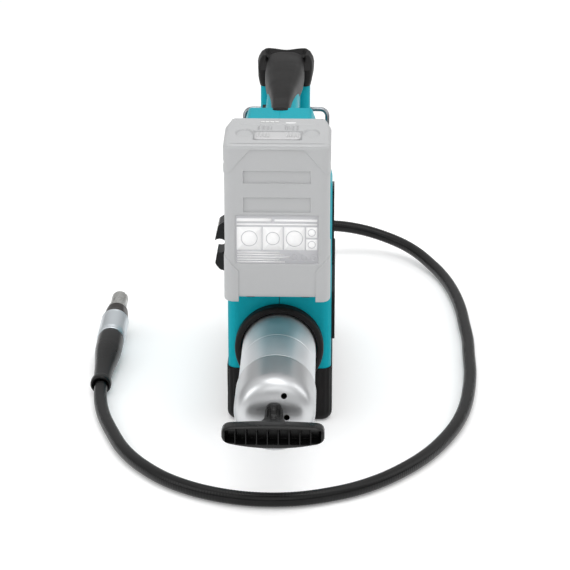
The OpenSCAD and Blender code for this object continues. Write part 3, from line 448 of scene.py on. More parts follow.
def slab(sheet, under):
    """A closed plate: a sheet of points, straight sides from its edge down to the height under, and
    a flat underside."""
    rows, columns = sheet.shape[:2]
    index = np.arange(rows * columns).reshape(rows, columns)
    edge = np.r_[index[0, :-1], index[:-1, -1], index[-1, :0:-1], index[:0:-1, 0]]
    top = sheet.reshape(-1, 3)
    skirt = top[edge] * (1, 1, 0) + (0, 0, under)
    here = len(top) + np.arange(len(edge))
    after = np.roll(here, -1)
    middle = np.full(len(edge), len(top) + len(edge))
    faces = quads(rows, columns, False) + np.c_[np.roll(edge, -1), edge, here, after].tolist()
    faces += np.c_[after, here, middle].tolist()
    return outward(np.r_[top, skirt, skirt.mean(0)[None]], faces)


def turned(profile, origin, way=(0, 1, 0), sides=96, closed=False, wave=None):
    """A profile of (place along the axis, radius) turned round an axis from origin along way.
    wave(along, angle) is added to the radius. A closed profile is a ring's section, and else each
    end gets a pole."""
    profile = np.asarray(profile, float)
    way = np.array(way, float) / np.linalg.norm(way)
    side = np.cross(way, (0, 0, 1))
    side /= np.linalg.norm(side)
    up = np.cross(side, way)
    a = np.linspace(0, 2 * np.pi, sides, endpoint=False)
    along, radius = profile[:, 0][:, None], profile[:, 1][:, None] * np.ones(sides)
    if wave is not None:
        radius = radius + wave(along, a[None])
    spoke = np.cos(a)[:, None] * side + np.sin(a)[:, None] * up
    grid = np.array(origin, float) + along[..., None] * way + radius[..., None] * spoke[None]
    if closed:
        return outward(grid.reshape(-1, 3), quads(len(profile), sides, True, True))
    return closed_grid(grid)


def joined(*parts):
    """Several lists of points and faces as one."""
    points, faces, first = [], [], 0
    for p, f in parts:
        points.append(p)
        faces += [[i + first for i in face] for face in f]
        first += len(p)
    return np.concatenate(points), faces


def through(points, step):
    """A smooth curve through given points (Catmull-Rom), sampled every step, and its length."""
    p = np.asarray(points, float)
    p = np.r_[2 * p[:1] - p[1:2], p, 2 * p[-1:] - p[-2:-1]]
    t = np.linspace(0, 1, 24, endpoint=False)[:, None]
    parts = []
    for a, b, c, d in zip(p[:-3], p[1:-2], p[2:-1], p[3:]):
        square, cube = 2 * a - 5 * b + 4 * c - d, 3 * b - a - 3 * c + d
        parts.append(0.5 * (2 * b + (c - a) * t + square * t ** 2 + cube * t ** 3))
    fine = np.r_[np.concatenate(parts), p[-2:-1]]
    far = np.r_[0, np.cumsum(np.linalg.norm(np.diff(fine, axis=0), axis=1))]
    at = np.linspace(0, far[-1], int(round(far[-1] / step)) + 1)
    return np.stack([np.interp(at, far, fine[:, k]) for k in range(3)], -1), far[-1], at


def tube(line, radius, sides):
    """Rings of points round a line: each ring stands square to the line, with its first point sideways."""
    along = np.gradient(line, axis=0)
    along /= np.linalg.norm(along, axis=1, keepdims=True)
    side = np.cross(along, (0, 0, 1.0))
    side /= np.linalg.norm(side, axis=1, keepdims=True)
    up = np.cross(side, along)
    a = np.linspace(0, 2 * np.pi, sides, endpoint=False)
    spoke = np.cos(a)[None, :, None] * side[:, None] + np.sin(a)[None, :, None] * up[:, None]
    return line[:, None] + np.asarray(radius).reshape(-1, 1, 1) * spoke


# ---- hose and coupler -------------------------------------------------------------------

# The middle of the hose, from the outlet fitting to the coupler's boot, in millimetres.
HOSE_ROUTE = [
    (0, 121, 50), (-1, 160, 50), (-7, 205, 47), (-10, 241, 43), (-5, 264, 39),
    (9, 284, 35), (28, 296, 31), (50, 302, 28), (70, 304, 24), (90, 301, 19), (109, 289, 15), (123, 272, 12),
    (134, 252, 9), (143, 230, 7), (150, 203, 6), (155, 170, 6), (158, 135, 6), (159, 100, 6), (160, 64, 6),
    (159, 28, 6), (158, -8, 6), (155, -44, 6), (150, -80, 6), (142, -113, 6), (131, -143, 6), (116, -173, 6),
    (97, -200, 6), (75, -223, 6), (50, -240, 6), (17, -252, 6), (-17, -253, 6), (-50, -243, 6),
    (-79, -224, 6), (-102, -198, 6), (-119, -169, 6), (-131, -137, 6), (-141, -104, 6), (-147, -72, 7),
    (-149, -40, 9.5), (-149, -20, 11)]
HOSE_D = 11
RIB_PITCH = 2.4
HOSE_IN_BOOT = 20
COUPLER_TILT = math.radians(4.2)
COUPLER_WAY = np.array((0, math.cos(COUPLER_TILT), math.sin(COUPLER_TILT)))
COUPLER_AT = np.array(HOSE_ROUTE[-1]) - HOSE_IN_BOOT * COUPLER_WAY


def delivery_hose(finish):
    """Tube round the route. Its radius has a shallow rib every RIB_PITCH:
    r = R - d (1 - |cos(pi s / pitch)|)."""
    line, length, at = through(HOSE_ROUTE, RIB_PITCH / 4)
    rib = 0.28 * (1 - np.abs(np.cos(np.pi * at / RIB_PITCH)))
    fade = np.minimum(smooth(at / 20), 1)
    points, faces = closed_grid(tube(line, HOSE_D / 2 - 0.03 - rib * fade, 20))
    hose = piece("hose", points, faces, finish, "housing", ["delivery_hose"], "hose_rubber")
    return hose, line[::4] * MM, length * MM


def coupler_pieces(rubber, alloy, dark, steel):
    """Boot, sleeve, turning ring and nose, each a profile of (place along the coupler's axis, radius)."""
    lip = rounded([(-12, 6.3, 0.8), (-12, 8.6, 2.2), (-5.2, 8.6, 2.4), (-4.2, 7.3, 1.2), (-3, 7.3, 0)], 8)
    t = np.linspace(0, 1, 40)
    swell = np.c_[-3 + 58 * t, 7.3 + 3.9 * smooth(t ** 1.25)]
    tail = rounded([(57, 11.3, 0), (69, 11.4, 0), (74, 11.2, 1.6), (74, 7, 0)], 6)
    inner = np.array([(60, 5.7), (0, 5.9), (-10, 6.0), (-12, 6.3)])
    section = np.r_[lip, swell, tail, inner]
    boot = piece("coupler_boot_rubber", *turned(section, COUPLER_AT, COUPLER_WAY, 96, True),
                 rubber, "housing", ["coupler_boot"], "black_rubber")
    profile = rounded([(74, 3, 0), (74, 11.6, 0.5), (75.2, 12, 0.4), (110.6, 12, 0.6),
                       (112, 11.2, 0.4), (112, 3, 0)], 6)

    def tool_marks(along, angle):
        """Shallow grooves near both ends of the sleeve."""
        return -0.25 * sum(within(along, place, place + 0.5, 0.25) for place in (77, 79.2, 108))

    profile = np.r_[profile[profile[:, 0] < 76], [(a, 12) for a in np.linspace(76.2, 110, 140)],
                    profile[profile[:, 0] > 110.2]]
    sleeve = piece("coupler_sleeve_alloy", *turned(profile, COUPLER_AT, COUPLER_WAY, 96, wave=tool_marks),
                   alloy, "housing", ["coupler_sleeve"], "alloy")
    start = 112.3

    def flats(along, angle):
        """Six flats ground into the cone: the radius is cut to a hexagon, blended over its length."""
        hexagon = np.cos(np.pi / 6) / np.cos((angle % (np.pi / 3)) - np.pi / 6)
        depth = within(along, start + 5, start + 14.5, 2.0) * 0.75
        return (np.minimum(hexagon * 1.09, 1) - 1) * 10.2 * depth

    cone = np.r_[[(start, 3), (start, 10.6)], [(start + 0.6 + k, 11.3 - 0.1 * k) for k in range(0, 16)],
                 [(start + 17, 9.3), (start + 17, 3)]]
    ring = piece("coupler_ring_dark", *turned(cone, COUPLER_AT, COUPLER_WAY, 144, wave=flats),
                 dark, "coupler", ["coupler_ring"], "ring_black", flat=25)
    front = start + 17
    shape = rounded([(front - 1, 5, 0), (front, 8.75, 0.5), (front + 5.4, 8.75, 0.9),
                     (front + 8.6, 7.35, 1.2), (front + 28.5, 7.35, 2.2), (front + 32.5, 5.3, 1.0),
                     (front + 32.6, 3.7, 0.4), (front + 26, 3.6, 0), (front + 26, 1.2, 0)], 6)
    sides = [np.linspace(a, b, 12)[:-1] for a, b in zip(shape[:-1], shape[1:])]
    shape = np.r_[np.concatenate(sides), shape[-1:]]

    def jaw_marks(along, angle):
        """Two flats on the collar and three slits where the jaws part."""
        facing = np.maximum(np.abs(np.cos(angle - 0.5)), 1e-3)
        flat = (np.minimum(0.9 / facing, 1) - 1) * 8.7 * within(along, front, front + 7.5, 1.0)
        turn = (angle + 0.3) % (2 * np.pi / 3) - np.pi / 3
        slit = -0.9 * np.exp(-(turn * 7.35 / 0.45) ** 2) * within(along, front + 13, front + 31, 1.0)
        return flat + slit

    nose = piece("coupler_nose_steel", *turned(shape, COUPLER_AT, COUPLER_WAY, 180, wave=jaw_marks),
                 steel, "coupler", ["coupler_nose"], "steel", flat=35)
    return [boot, sleeve, ring, nose]


# ---- barrel -----------------------------------------------------------------------------

AXIS_Z = 66
BARREL_R = 29


def barrel_pieces(tube_finish, cap_finish, rubber):
    """The tube and its cap are turned round the barrel's axis, and the cap's vents are cut through its
    dome."""
    low, high = span("barrel_tube")
    cap_low, cap_high = span("end_cap")
    scribe = span("collar_ring")[0][1] - 40.3
    length = stations(low[1] + 1, high[1] - 1, 4, [scribe], 0.9)
    wall = np.r_[[(low[1], BARREL_R - 1.5), (low[1], BARREL_R)],
                 np.c_[length, BARREL_R - 0.35 * np.exp(-((length - scribe) / 0.35) ** 2)],
                 [(high[1], BARREL_R - 0.4), (high[1], BARREL_R - 1.5)]]
    piece("barrel_steel_tube", *turned(wall, (0, 0, AXIS_Z), sides=144, closed=True),
          tube_finish, "barrel", ["barrel_tube"], "barrel_steel", flat=50)
    y0, y1, r = cap_low[1], cap_high[1], cap_high[0]
    shell = 1.2
    a = np.linspace(0, 1, 30)
    dome = np.c_[y0 + 17.5 * a ** 2.2 * (0.1 + 0.9 * a), (r - 0.02) * np.sin(a * np.pi / 2) ** 0.86]
    skirt = np.array([(y0 + 19 + k, r) for k in np.linspace(0, 30.5, 14)])
    bead = rounded([(y1 - 1.2, r, 0.3), (y1, r - 0.15, 0.5), (y1, r - shell, 0)], 4)
    outside = np.r_[dome[1:], skirt, bead]
    inside = np.r_[[(y1 - 1, r - shell)], np.c_[skirt[::-1, 0], skirt[::-1, 1] - shell],
                   np.c_[dome[:0:-1, 0] + 1.5, np.maximum(dome[:0:-1, 1] - shell, 0.3)]]
    points, faces = turned(np.r_[outside, inside], (0, 0, AXIS_Z), sides=144, closed=True)
    cap = piece("barrel_end_cap", points, faces, cap_finish, "barrel", ["end_cap"], "barrel_steel", flat=40)
    for x, z in ((7.2, AXIS_Z + 18), (9.2, AXIS_Z + 1.5)):
        drill(cap, turned([(y0 - 5, 2.25), (y0 + 12, 2.25)], (x, 0, z), sides=32))
    ring = rounded([(-110, 30.1, 1.0), (-110, 35, 3.2), (-100.2, 35, 0.5), (-100.2, 30.1, 0.6)], 8)
    piece("barrel_collar", *turned(ring, (0, 0, AXIS_Z), sides=144, closed=True),
          rubber, "housing", ["collar_ring"], "black_rubber", flat=50)


def drill(target, cutter_shape):
    """Cuts a closed shape out of a piece, and keeps only the cut mesh."""
    points, faces = cutter_shape
    mesh = bpy.data.meshes.new("cutter")
    mesh.from_pydata((points * MM).tolist(), [], faces)
    cutter = bpy.data.objects.new("cutter", mesh)
    bpy.context.scene.collection.objects.link(cutter)
    cut = target.modifiers.new("cut", "BOOLEAN")
    cut.operation, cut.solver, cut.object = "DIFFERENCE", "EXACT", cutter
    bpy.context.view_layer.update()
    done = bpy.data.meshes.new_from_object(target.evaluated_get(bpy.context.evaluated_depsgraph_get()))
    target.modifiers.clear()
    old = target.data
    target.data = done
    bpy.data.meshes.remove(old)
    bpy.data.objects.remove(cutter)
    bpy.data.meshes.remove(mesh)


def t_handle(plastic):
    """A bar whose section is a superellipse that swells in the middle, with nine pockets pressed into
    its rear face, and a stem that rises to the cap, flares into the bar and has two slots on top."""
    low, high = span("t_handle")
    half, front = high[0], -261.0
    depth = front - low[1]
    pocket_step, pocket_half = 7.75, 3.05
    edges = [k * pocket_step + side * pocket_half for k in range(-4, 5) for side in (-1, 1)]
    xs = stations(-half + 0.02, half - 0.02, 0.9, edges, 0.5)
    a = np.linspace(0, 2 * np.pi, 161)[:-1]
    x, a = np.meshgrid(xs, a, indexing="ij")
    end = np.clip((half - np.abs(x)) / 6.5, 0, 1)
    taper = np.sqrt(np.maximum(1 - (1 - end) ** 2.4, 1e-4))
    top = (8.0 - 1.5 * (np.abs(x) / half) ** 2) * (0.35 + 0.65 * taper)
    bottom = (10.4 - 5.0 * (np.abs(x) / half) ** 2) * (0.35 + 0.65 * taper)
    c, s = np.cos(a), np.sin(a)
    power = 2 / 3.6
    z = np.where(s > 0, top, bottom) * np.sign(s) * np.abs(s) ** power
    y = (depth / 2) * (0.55 + 0.45 * taper) * np.sign(c) * np.abs(c) ** power
    centre = (np.abs(x) + pocket_step / 2) // pocket_step * pocket_step
    inside_x = up_to(np.abs(np.abs(x) - centre), pocket_half) * (np.abs(x) < 4.5 * pocket_step)
    rim = np.where(np.abs(x) > 3.5 * pocket_step, 4.2, 5.2)
    inside_z = within(z, -rim, rim, 0.6)
    rear = beyond(-y, depth / 2 - 2.5, 1.0)
    y = y + 10.0 * inside_x * inside_z * rear
    grid = np.stack([x, y + front - depth / 2, z + AXIS_Z], -1)
    bar = closed_grid(grid)
    v = np.linspace(0, 1, 46)
    a = np.linspace(0, 2 * np.pi, 97)[:-1]
    v, a = np.meshgrid(v, a, indexing="ij")
    c, s = np.cos(a), np.sin(a)
    y = -244.8 + v * (front - 3 + 244.8)
    wide = 6.7 + 0.4 * v + 11 * v ** 5
    tall = np.where(s > 0, 13.0 - 5.6 * smooth((v - 0.1) / 0.8), 7.1)
    x = wide * np.sign(c) * np.abs(c) ** 0.62
    z = tall * np.sign(s) * np.abs(s) ** 0.62
    slot = within(np.abs(x), 2.3, 4.3) * within(v, 0.16, 0.62, 0.08) * (s > 0)
    notch = up_to(np.abs(x), 1.6) * within(v, 0.5, 0.8, 0.08) * (s > 0)
    z = z - 2.6 * slot - 1.6 * notch
    stem = closed_grid(np.stack([x, y, z + AXIS_Z], -1))
    return piece("pull_handle", *joined(bar, stem), plastic, "follower", ["t_handle"], "black_plastic",
                 flat=55)


BAIL_HALF = 35.75
PIVOT_END = 29


def wire_bail(finish):
    """A wire arch with tight corners: up one leg, along the bar and down the other, in the plane of
    its lean, and a short pivot inwards from each foot."""
    low, high = span("hanger_bail")
    wire = (high[0] - low[0] - 2 * BAIL_HALF) / 2
    foot = np.array((0, low[1] + wire, low[2] + wire))
    top = np.array((0, high[1] - wire, high[2] - wire))
    tall = np.linalg.norm(top - foot)
    arch = rounded([(-BAIL_HALF, 0, 0), (-BAIL_HALF, tall, 6), (BAIL_HALF, tall, 6), (BAIL_HALF, 0, 0)], 8)
    far = np.r_[0, np.cumsum(np.linalg.norm(np.diff(arch, axis=0), axis=1))]
    at = np.linspace(0, far[-1], 150)
    line = np.c_[np.interp(at, far, arch[:, 0]), np.interp(at, far, arch[:, 1])]
    rise = (top - foot) / tall
    points = foot + line[:, :1] * (1, 0, 0) + line[:, 1:] * rise
    square = np.cross((1, 0, 0), rise)
    along = np.gradient(points, axis=0)
    along /= np.linalg.norm(along, axis=1, keepdims=True)
    side = np.cross(along, square)
    a = np.linspace(0, 2 * np.pi, 17)[:-1][None, :, None]
    arch = closed_grid(points[:, None] + wire * (np.cos(a) * side[:, None] + np.sin(a) * square))
    pivots = [np.array([foot + (s * BAIL_HALF, 0, 0), foot + (s * PIVOT_END, 0, 0)]) for s in (-1, 1)]
    hooks = [closed_grid(tube(pivot, wire, 16)) for pivot in pivots]
    return piece("bail_wire", *joined(arch, *hooks), finish, "bail", ["hanger_bail"], "wire_chrome")


# ---- battery ----------------------------------------------------------------------------


CASE_LOW, CASE_HIGH = 130.0, 249.0
COVER_LOW = 227.0
GUARD_LOW = 126.6


def battery_outline(half, rear, front):
    """Plan of the battery, starting in the middle of its rear face and going towards +X."""
    return rounded([(0, rear, 0), (half, rear, 7), (half, front - 18, 6), (half - 4, front, 4),
                    (4 - half, front, 4), (-half, front - 18, 6), (-half, rear, 7)], 10)


class BatteryPlan:
    """The battery from above: its half width and ends, its outline, and points round the outline with
    their outward directions."""

    def __init__(self):
        low, high = span("battery_cover")
        self.half, self.rear, self.front = high[0], low[1], high[1]
        self.outline = battery_outline(self.half, self.rear, self.front)
        self.total = length_round(self.outline)
        half_way = stations(0, self.total / 2, 1.1, [25, 31.5])
        self.at, self.out = spread(self.outline, np.r_[half_way, self.total - half_way[1:-1][::-1]])

    def top(self, y):
        """Height of the top, which rises a little towards the front."""
        return 250 + 4 * (y - self.rear) / (self.front - self.rear)

    def wall(self, z, depth):
        """A grid of (height, place round the outline), pushed in from the outline by depth."""
        x, y = self.at[:, 0], self.at[:, 1]
        return np.stack([x - self.out[:, 0] * depth, y - self.out[:, 1] * depth, z + 0 * x], -1)


def battery_body(plan, plastic):
    """The case: two panels and the label's bed in its rear face, a hollow in each side and a rounded
    foot."""
    z = stations(CASE_LOW, CASE_HIGH, 1.2, [220.5, 230, 198, 209.4, 157, 196, 140, 150])[:, None]
    x, y = plan.at[:, 0][None], plan.at[:, 1][None]
    at_rear = beyond(-y, -plan.rear - 0.3, 0.3)
    at_side = beyond(np.abs(x), plan.half - 0.5, 0.3)
    depth = 0.6 + 0 * z * x
    panels = within(z, 220.8, 229.6) + within(z, 198.3, 209.0)
    depth = depth + 1.3 * at_rear * up_to(np.abs(x), 24.6) * panels
    depth = depth + 0.5 * at_rear * up_to(np.abs(x), 31.2) * within(z, 157.3, 195.7)
    depth = depth + 0.9 * at_side * within(y, plan.rear + 16, plan.rear + 40, 0.6) * within(z, 172, 218)
    depth = depth + 0.45 * np.exp(-((z - 141) / 0.4) ** 2) * at_side
    foot_round = 3.5
    foot = np.clip((z - CASE_LOW) / foot_round, 0, 1)
    depth = depth + foot_round * (1 - np.sqrt(np.maximum(1 - (1 - foot) ** 2, 0)))
    piece("battery_body", *closed_grid(plan.wall(z, depth)), plastic, "battery", ["battery_case"],
          "battery_plastic", flat=40)


def cover_skirt(plan):
    """The cover's wall, which comes down at the rear corners, its rolled top edge and a flat margin."""
    x, y = plan.at[:, 0], plan.at[:, 1]
    rear_edge = COVER_LOW + np.clip((36.5 - np.abs(x)) / 17.5, 0, 1) * 20.6
    low_edge = np.where(y < plan.rear + 1.0, rear_edge, COVER_LOW)
    roll = 3.6
    upper = plan.top(y)
    t = np.linspace(0, 1, 16)[:, None]
    a = np.linspace(0, np.pi / 2, 9)[:, None]
    wall_z = low_edge + t * (upper - roll - low_edge)
    wall_d = 0.35 * (1 - smooth(t * 12)) + 0 * wall_z
    roll_z = upper - roll + roll * np.sin(a)
    roll_d = roll * (1 - np.cos(a)) + 0 * roll_z
    margin_d = np.array([5.0, 7.0])[:, None] + 0 * upper
    margin_z = np.array([0.0, -1.2])[:, None] + upper
    rim_z, rim_d = low_edge[None] + 0.35, 1.5 + 0 * upper[None]
    z = np.r_[rim_z, wall_z, roll_z[1:], margin_z]
    d = np.r_[rim_d, wall_d, roll_d[1:], margin_d]
    upright = np.clip((z - low_edge) / np.maximum(upper - low_edge, 1), 0, 1)
    d = d + 0.5 * beyond(np.abs(x), plan.half - 0.5, 0.3)[None] * within(z, 234, 236) * (upright < 0.9)
    return closed_grid(plan.wall(z, d))


def cover_plate(plan):
    """The cover's flat top, with two ovals, the latch's bed, the lights' bed, four slits and a groove
    pressed in."""
    margin = 4.5
    xs = stations(margin - plan.half, plan.half - margin, 1.0, [-29, -21, 21, 29, -13.5, 0, 4.5, 14])
    ys = stations(plan.rear + margin, plan.front - margin, 1.0, [-145, -133, -116, -111], 0.4)
    x, y = np.meshgrid(xs, ys, indexing="ij")
    height = plan.top(y) + 0.02
    oval = ((np.abs(x) - 25) / 5.6) ** 2 + ((y + 138) / 8.0) ** 2
    height = height - 2.6 * smooth((1.25 - oval) / 0.4)
    height = height - 1.3 * up_to(np.abs(x), 17.6) * within(y, -152.6, -133.6)
    height = height - 0.5 * within(x, -15.2, 2.0) * within(y, -115.6, -111.0, 0.4)
    for k in range(4):
        slit = within(np.abs(x), 5.4 + 2.9 * k, 6.5 + 2.9 * k, 0.3)
        height = height - 1.0 * slit * within(y, -131.5, -122.5)
    height = height - 0.8 * up_to(np.abs(x), 30, 0.6) * within(y, -119.4, -118.6, 0.4)
    return slab(np.stack([x, y, height], -1), 246)


def battery_cover(plan, plastic):
    """The cover over the case."""
    piece("battery_cover_shell", *joined(cover_skirt(plan), cover_plate(plan)), plastic, "battery",
          ["battery_cover"], "battery_plastic", flat=40)


def battery_guards(plan, plastic):
    """A strip round each lower corner, closed by its inner face."""
    for side, tag in ((1, "right"), (-1, "left")):
        ring = np.linspace(29, plan.total / 2 - 32, 120)
        pos, way = spread(plan.outline, ring)
        px, py, ox, oy = side * pos[:, 0], pos[:, 1], side * way[:, 0], way[:, 1]
        on_rear = py < plan.rear + 0.5
        edge = np.where(on_rear, 152 + np.clip((pos[:, 0] - 29) / 6.5, 0, 1) * 7, 163)
        edge = np.where(~on_rear, np.minimum(163, 159 + np.abs(py - plan.rear)), edge)
        r = 2.6
        a = np.linspace(0, np.pi / 2, 6)[:, None]
        wall = GUARD_LOW + r + np.linspace(0.05, 1, 14)[:, None] * (edge - 0.5 - GUARD_LOW - r)
        z = np.r_[level(px, GUARD_LOW), GUARD_LOW + r - r * np.cos(a) + 0 * px, wall, edge[None], edge[None]]
        d = np.r_[level(px, 6), r - r * np.sin(a) + 0 * px, 0 * wall, level(px, 0.5), level(px, 2)]
        grid = np.stack([px - ox * d, py - oy * d, z], -1).transpose(1, 0, 2)
        piece("battery_guard_" + tag, *closed_grid(grid), plastic, "battery", slot="battery_plastic", flat=40)


def battery_label(plan, label, white):
    """A thin plate on the rear face, with plain panels, bars and rings on it."""
    face_y = plan.rear + 1.05
    film = plate_box(-30.8, 30.8, 157.6, 195.4, face_y, 0.12, 1.2)
    piece("battery_label_film", *joined(film), label, "battery", ["battery_label"], "label")
    panels = [(-30, -11.5, 168.5, 186.5), (-10.6, 4.4, 168.5, 186.5), (5.3, 20.8, 168.5, 186.5),
              (21.7, 30, 178, 186.5), (21.7, 30, 168.5, 177)]
    bars = [(-30, -4, 190.8, 193.2), (-2, 30, 190.8, 192.6), (-30, 30, 188, 189.2)]
    bars += [(-30, 2 + 4 * (k % 3), 166.2 - 1.9 * k, 167 - 1.9 * k) for k in range(5)]
    shapes = [plate_box(*sides, face_y - 0.1, 0.1, 0.5) for sides in panels + bars]
    piece("battery_label_panels", *joined(*shapes), white, "battery", slot="button_white")
    rings = [(-20.7, 177.5, 6.2), (-3.1, 177.5, 5.2), (13, 177.5, 6.4), (25.9, 182.2, 3), (25.9, 172.8, 3),
             (13, 162.5, 2.4), (20.5, 162.5, 2.4), (27.5, 162.5, 2.2)]
    emblems = [ring_mark(*ring, face_y - 0.19) for ring in rings]
    piece("battery_label_rings", *joined(*emblems), label, "battery", slot="label")


def battery_buttons(plan, plastic_dark, white, lens):
    """The small parts of the top: charge lights, charge button, and the ribbed release button."""
    lights_y, check_y, latch_y = -113.3, -115.0, -143.0
    lights = [dome_top(-12 + 3.6 * k, lights_y, 1.5, 1.0, plan.top(lights_y) - 0.45, 0.5, power=6)
              for k in range(4)]
    piece("battery_charge_lights", *joined(*lights), lens, "battery", slot="lamp_glass")
    button = dome_top(9.3, check_y, 4.6, 2.4, plan.top(check_y) - 1.5, 1.5)
    piece("battery_check_button", *button, white, "charge", ["charge_button"], "button_white")
    top = plan.top(latch_y)
    body = dome_top(0, latch_y, 17.0, 9.0, top - 1.2, 1.3, power=7)
    ribs = [dome_top(s * x, latch_y, 0.75, 6.0, top - 0.2, 0.9, power=4)
            for x in (7, 9.6, 12.2, 14.8) for s in (-1, 1)]
    piece("battery_latch_button", *joined(body, *ribs), plastic_dark, "latch", ["battery_latch"],
          "battery_plastic", flat=50)


def plate_box(x0, x1, z0, z1, y, thick, r):
    """A thin plate that faces -Y, with rounded corners: its outline at y, and again thick behind."""
    edge = rounded([(x0, z0, r), (x1, z0, r), (x1, z1, r), (x0, z1, r)], 4)
    front = np.c_[edge[:, 0], np.full(len(edge), y), edge[:, 1]]
    return closed_grid(np.stack([front + (0, thick, 0), front]))


def ring_mark(x, z, r, y):
    """A plain thin ring that faces -Y."""
    profile = [(y, r), (y, r - 0.55), (y + 0.08, r - 0.55), (y + 0.08, r)]
    return turned(profile, (x, 0, z), sides=40, closed=True)


def dome_top(x, y, half_x, half_y, z, tall, power=2.6):
    """A low button: rings of a superellipse that shrink and rise as a quarter turn."""
    a = np.linspace(0, 2 * np.pi, 49)[:-1]
    c, s = np.cos(a), np.sin(a)
    px, py = np.sign(c) * np.abs(c) ** (2 / power), np.sign(s) * np.abs(s) ** (2 / power)
    t = np.linspace(0, np.pi / 2, 8)[:-1]
    shrink = np.r_[1, 1 - 0.22 * (1 - np.cos(t)), 0.6, 0.3]
    rise = np.r_[0, 0.35 + 0.65 * np.sin(t), 1.0, 1.0] * tall
    inset = (1 - shrink) * min(half_x, half_y)
    wide, long = half_x - inset[:, None], half_y - inset[:, None]
    return closed_grid(np.stack([x + px * wide, y + py * long, z + rise[:, None] + 0 * px], -1))


# ---- grip and head bumper ---------------------------------------------------------------


def handle_grip(rubber):
    """Sections along Y: superellipses whose half width, top and bottom follow smooth curves of Y."""
    low, high = span("handle_grip")
    y = stations(low[1], high[1] + 14, 1.6)
    t = (y - low[1]) / (high[1] - low[1])
    half = 7.0 + 9.5 * smooth((t - 0.02) / 0.85) ** 1.1
    top = 251.6 + 2.2 * np.sin(np.pi * np.clip(t, 0, 1)) - 1.2 * smooth(t - 0.9)
    bottom = 240.0 - 15.0 * smooth(t / 0.8)
    close = np.sqrt(np.clip((y[-1] - y) / 6.0, 0, 1)) * np.sqrt(np.clip((y - y[0] + 0.3) / 3.0, 0.02, 1))
    half, middle = half * (0.4 + 0.6 * close), (top + bottom) / 2
    tall = (top - bottom) / 2 * (0.3 + 0.7 * close)
    a = np.linspace(0, 2 * np.pi, 97)[:-1]
    c, s = np.cos(a), np.sin(a)
    power = 2 / 2.9
    x = half[:, None] * np.sign(c) * np.abs(c) ** power
    z = middle[:, None] + tall[:, None] * np.sign(s) * np.abs(s) ** power
    across = within(t[:, None], 0.18, 0.8, 0.05) * (s > 0.1) * up_to(np.abs(x), half[:, None] * 0.55, 2)
    z = z - 0.35 * across * (0.5 - 0.5 * np.cos(2 * np.pi * y[:, None] / 3.2))
    grid = np.stack([x, y[:, None] + 0 * x, z], -1)
    return piece("grip_rubber", *closed_grid(grid), rubber, "housing", ["handle_grip"], "black_rubber")


def rear_face_marks(rubber):
    """The parting line between the housing's halves above the collar, and the ends of the battery's
    two stops."""
    rear = span("left_housing")[0][1]
    line = plate_box(-0.22, 0.22, 101, 118, rear - 0.03, 0.3, 0.1)
    stops = [plate_box(x - 4, x + 4, 106.6, 110.5, rear - 0.5, 0.8, 1.6) for x in (-22.5, 20.5)]
    piece("rear_face_line", *joined(line, *stops), rubber, "housing", slot="black_rubber", flat=40)


def head_bumper(rubber):
    """Rings round the handle's front end: a rounded outline that flares, rolls over a rim and drops
    into a dish. A lobe on each side reaches back round the column below the rim."""
    low, high = span("head_bumper")
    rear, front, half = 98.0, high[1], high[0]
    bottom, top = low[2], high[2]
    outline = rounded([(0, rear, 0), (half - 1.5, rear, 7), (half, front - 12, 10), (half - 4, front, 8),
                       (4 - half, front, 8), (-half, front - 12, 10), (1.5 - half, rear, 7)], 10)
    at, out = spread(outline, np.linspace(0, length_round(outline), 181)[:-1])
    x, y = at[:, 0], at[:, 1]
    rows = [(bottom, 4.0, 0), (bottom, 2.8, 0), (bottom + 1, 2.4, 0), (bottom + 5, 1.2, 0),
            (bottom + 9, 0.3, 0), (bottom + 12, 0.0, 0), (top - 9, 0.1, 0), (top - 5, 0.9, 0.2),
            (top - 2.4, 2.0, 0.6), (top - 0.8, 3.0, 1), (top, 4.2, 1), (top - 0.2, 5.4, 1),
            (top - 1.2, 6.4, 0.8), (top - 2.6, 7.2, 0.5), (top - 3.6, 8.4, 0), (top - 4, 11, 0),
            (top - 4, 16, 0)]
    z, d, dip = (np.array(column)[:, None] for column in zip(*rows))
    saddle = 1.6 * np.exp(-(x / 9.0) ** 2) * beyond(y, front - 6, 4)
    rear_gap = 5.0 * beyond(-y, -rear - 4, 5) * up_to(np.abs(x), 16, 3)
    z = z - dip * (saddle + rear_gap)
    lobe = smooth((np.abs(x) - 12) / 4) * smooth((rear + 12 - y) / 10)
    lobe = 13.5 * lobe * smooth((top - 4 - z) / 6) * smooth((z - bottom - 2) / 3)
    bulge = 0.5 * beyond(np.abs(x), 15, 3)[None] * within(z, top - 14, top - 6, 3)
    grid = np.stack([x - out[:, 0] * (d - bulge), y - out[:, 1] * (d - bulge) - lobe, z + 0 * x], -1)
    return piece("head_bumper_rubber", *closed_grid(grid), rubber, "housing", ["head_bumper"],
                 "black_rubber", flat=60)


# ---- base bumper ------------------------------------------------------------------------


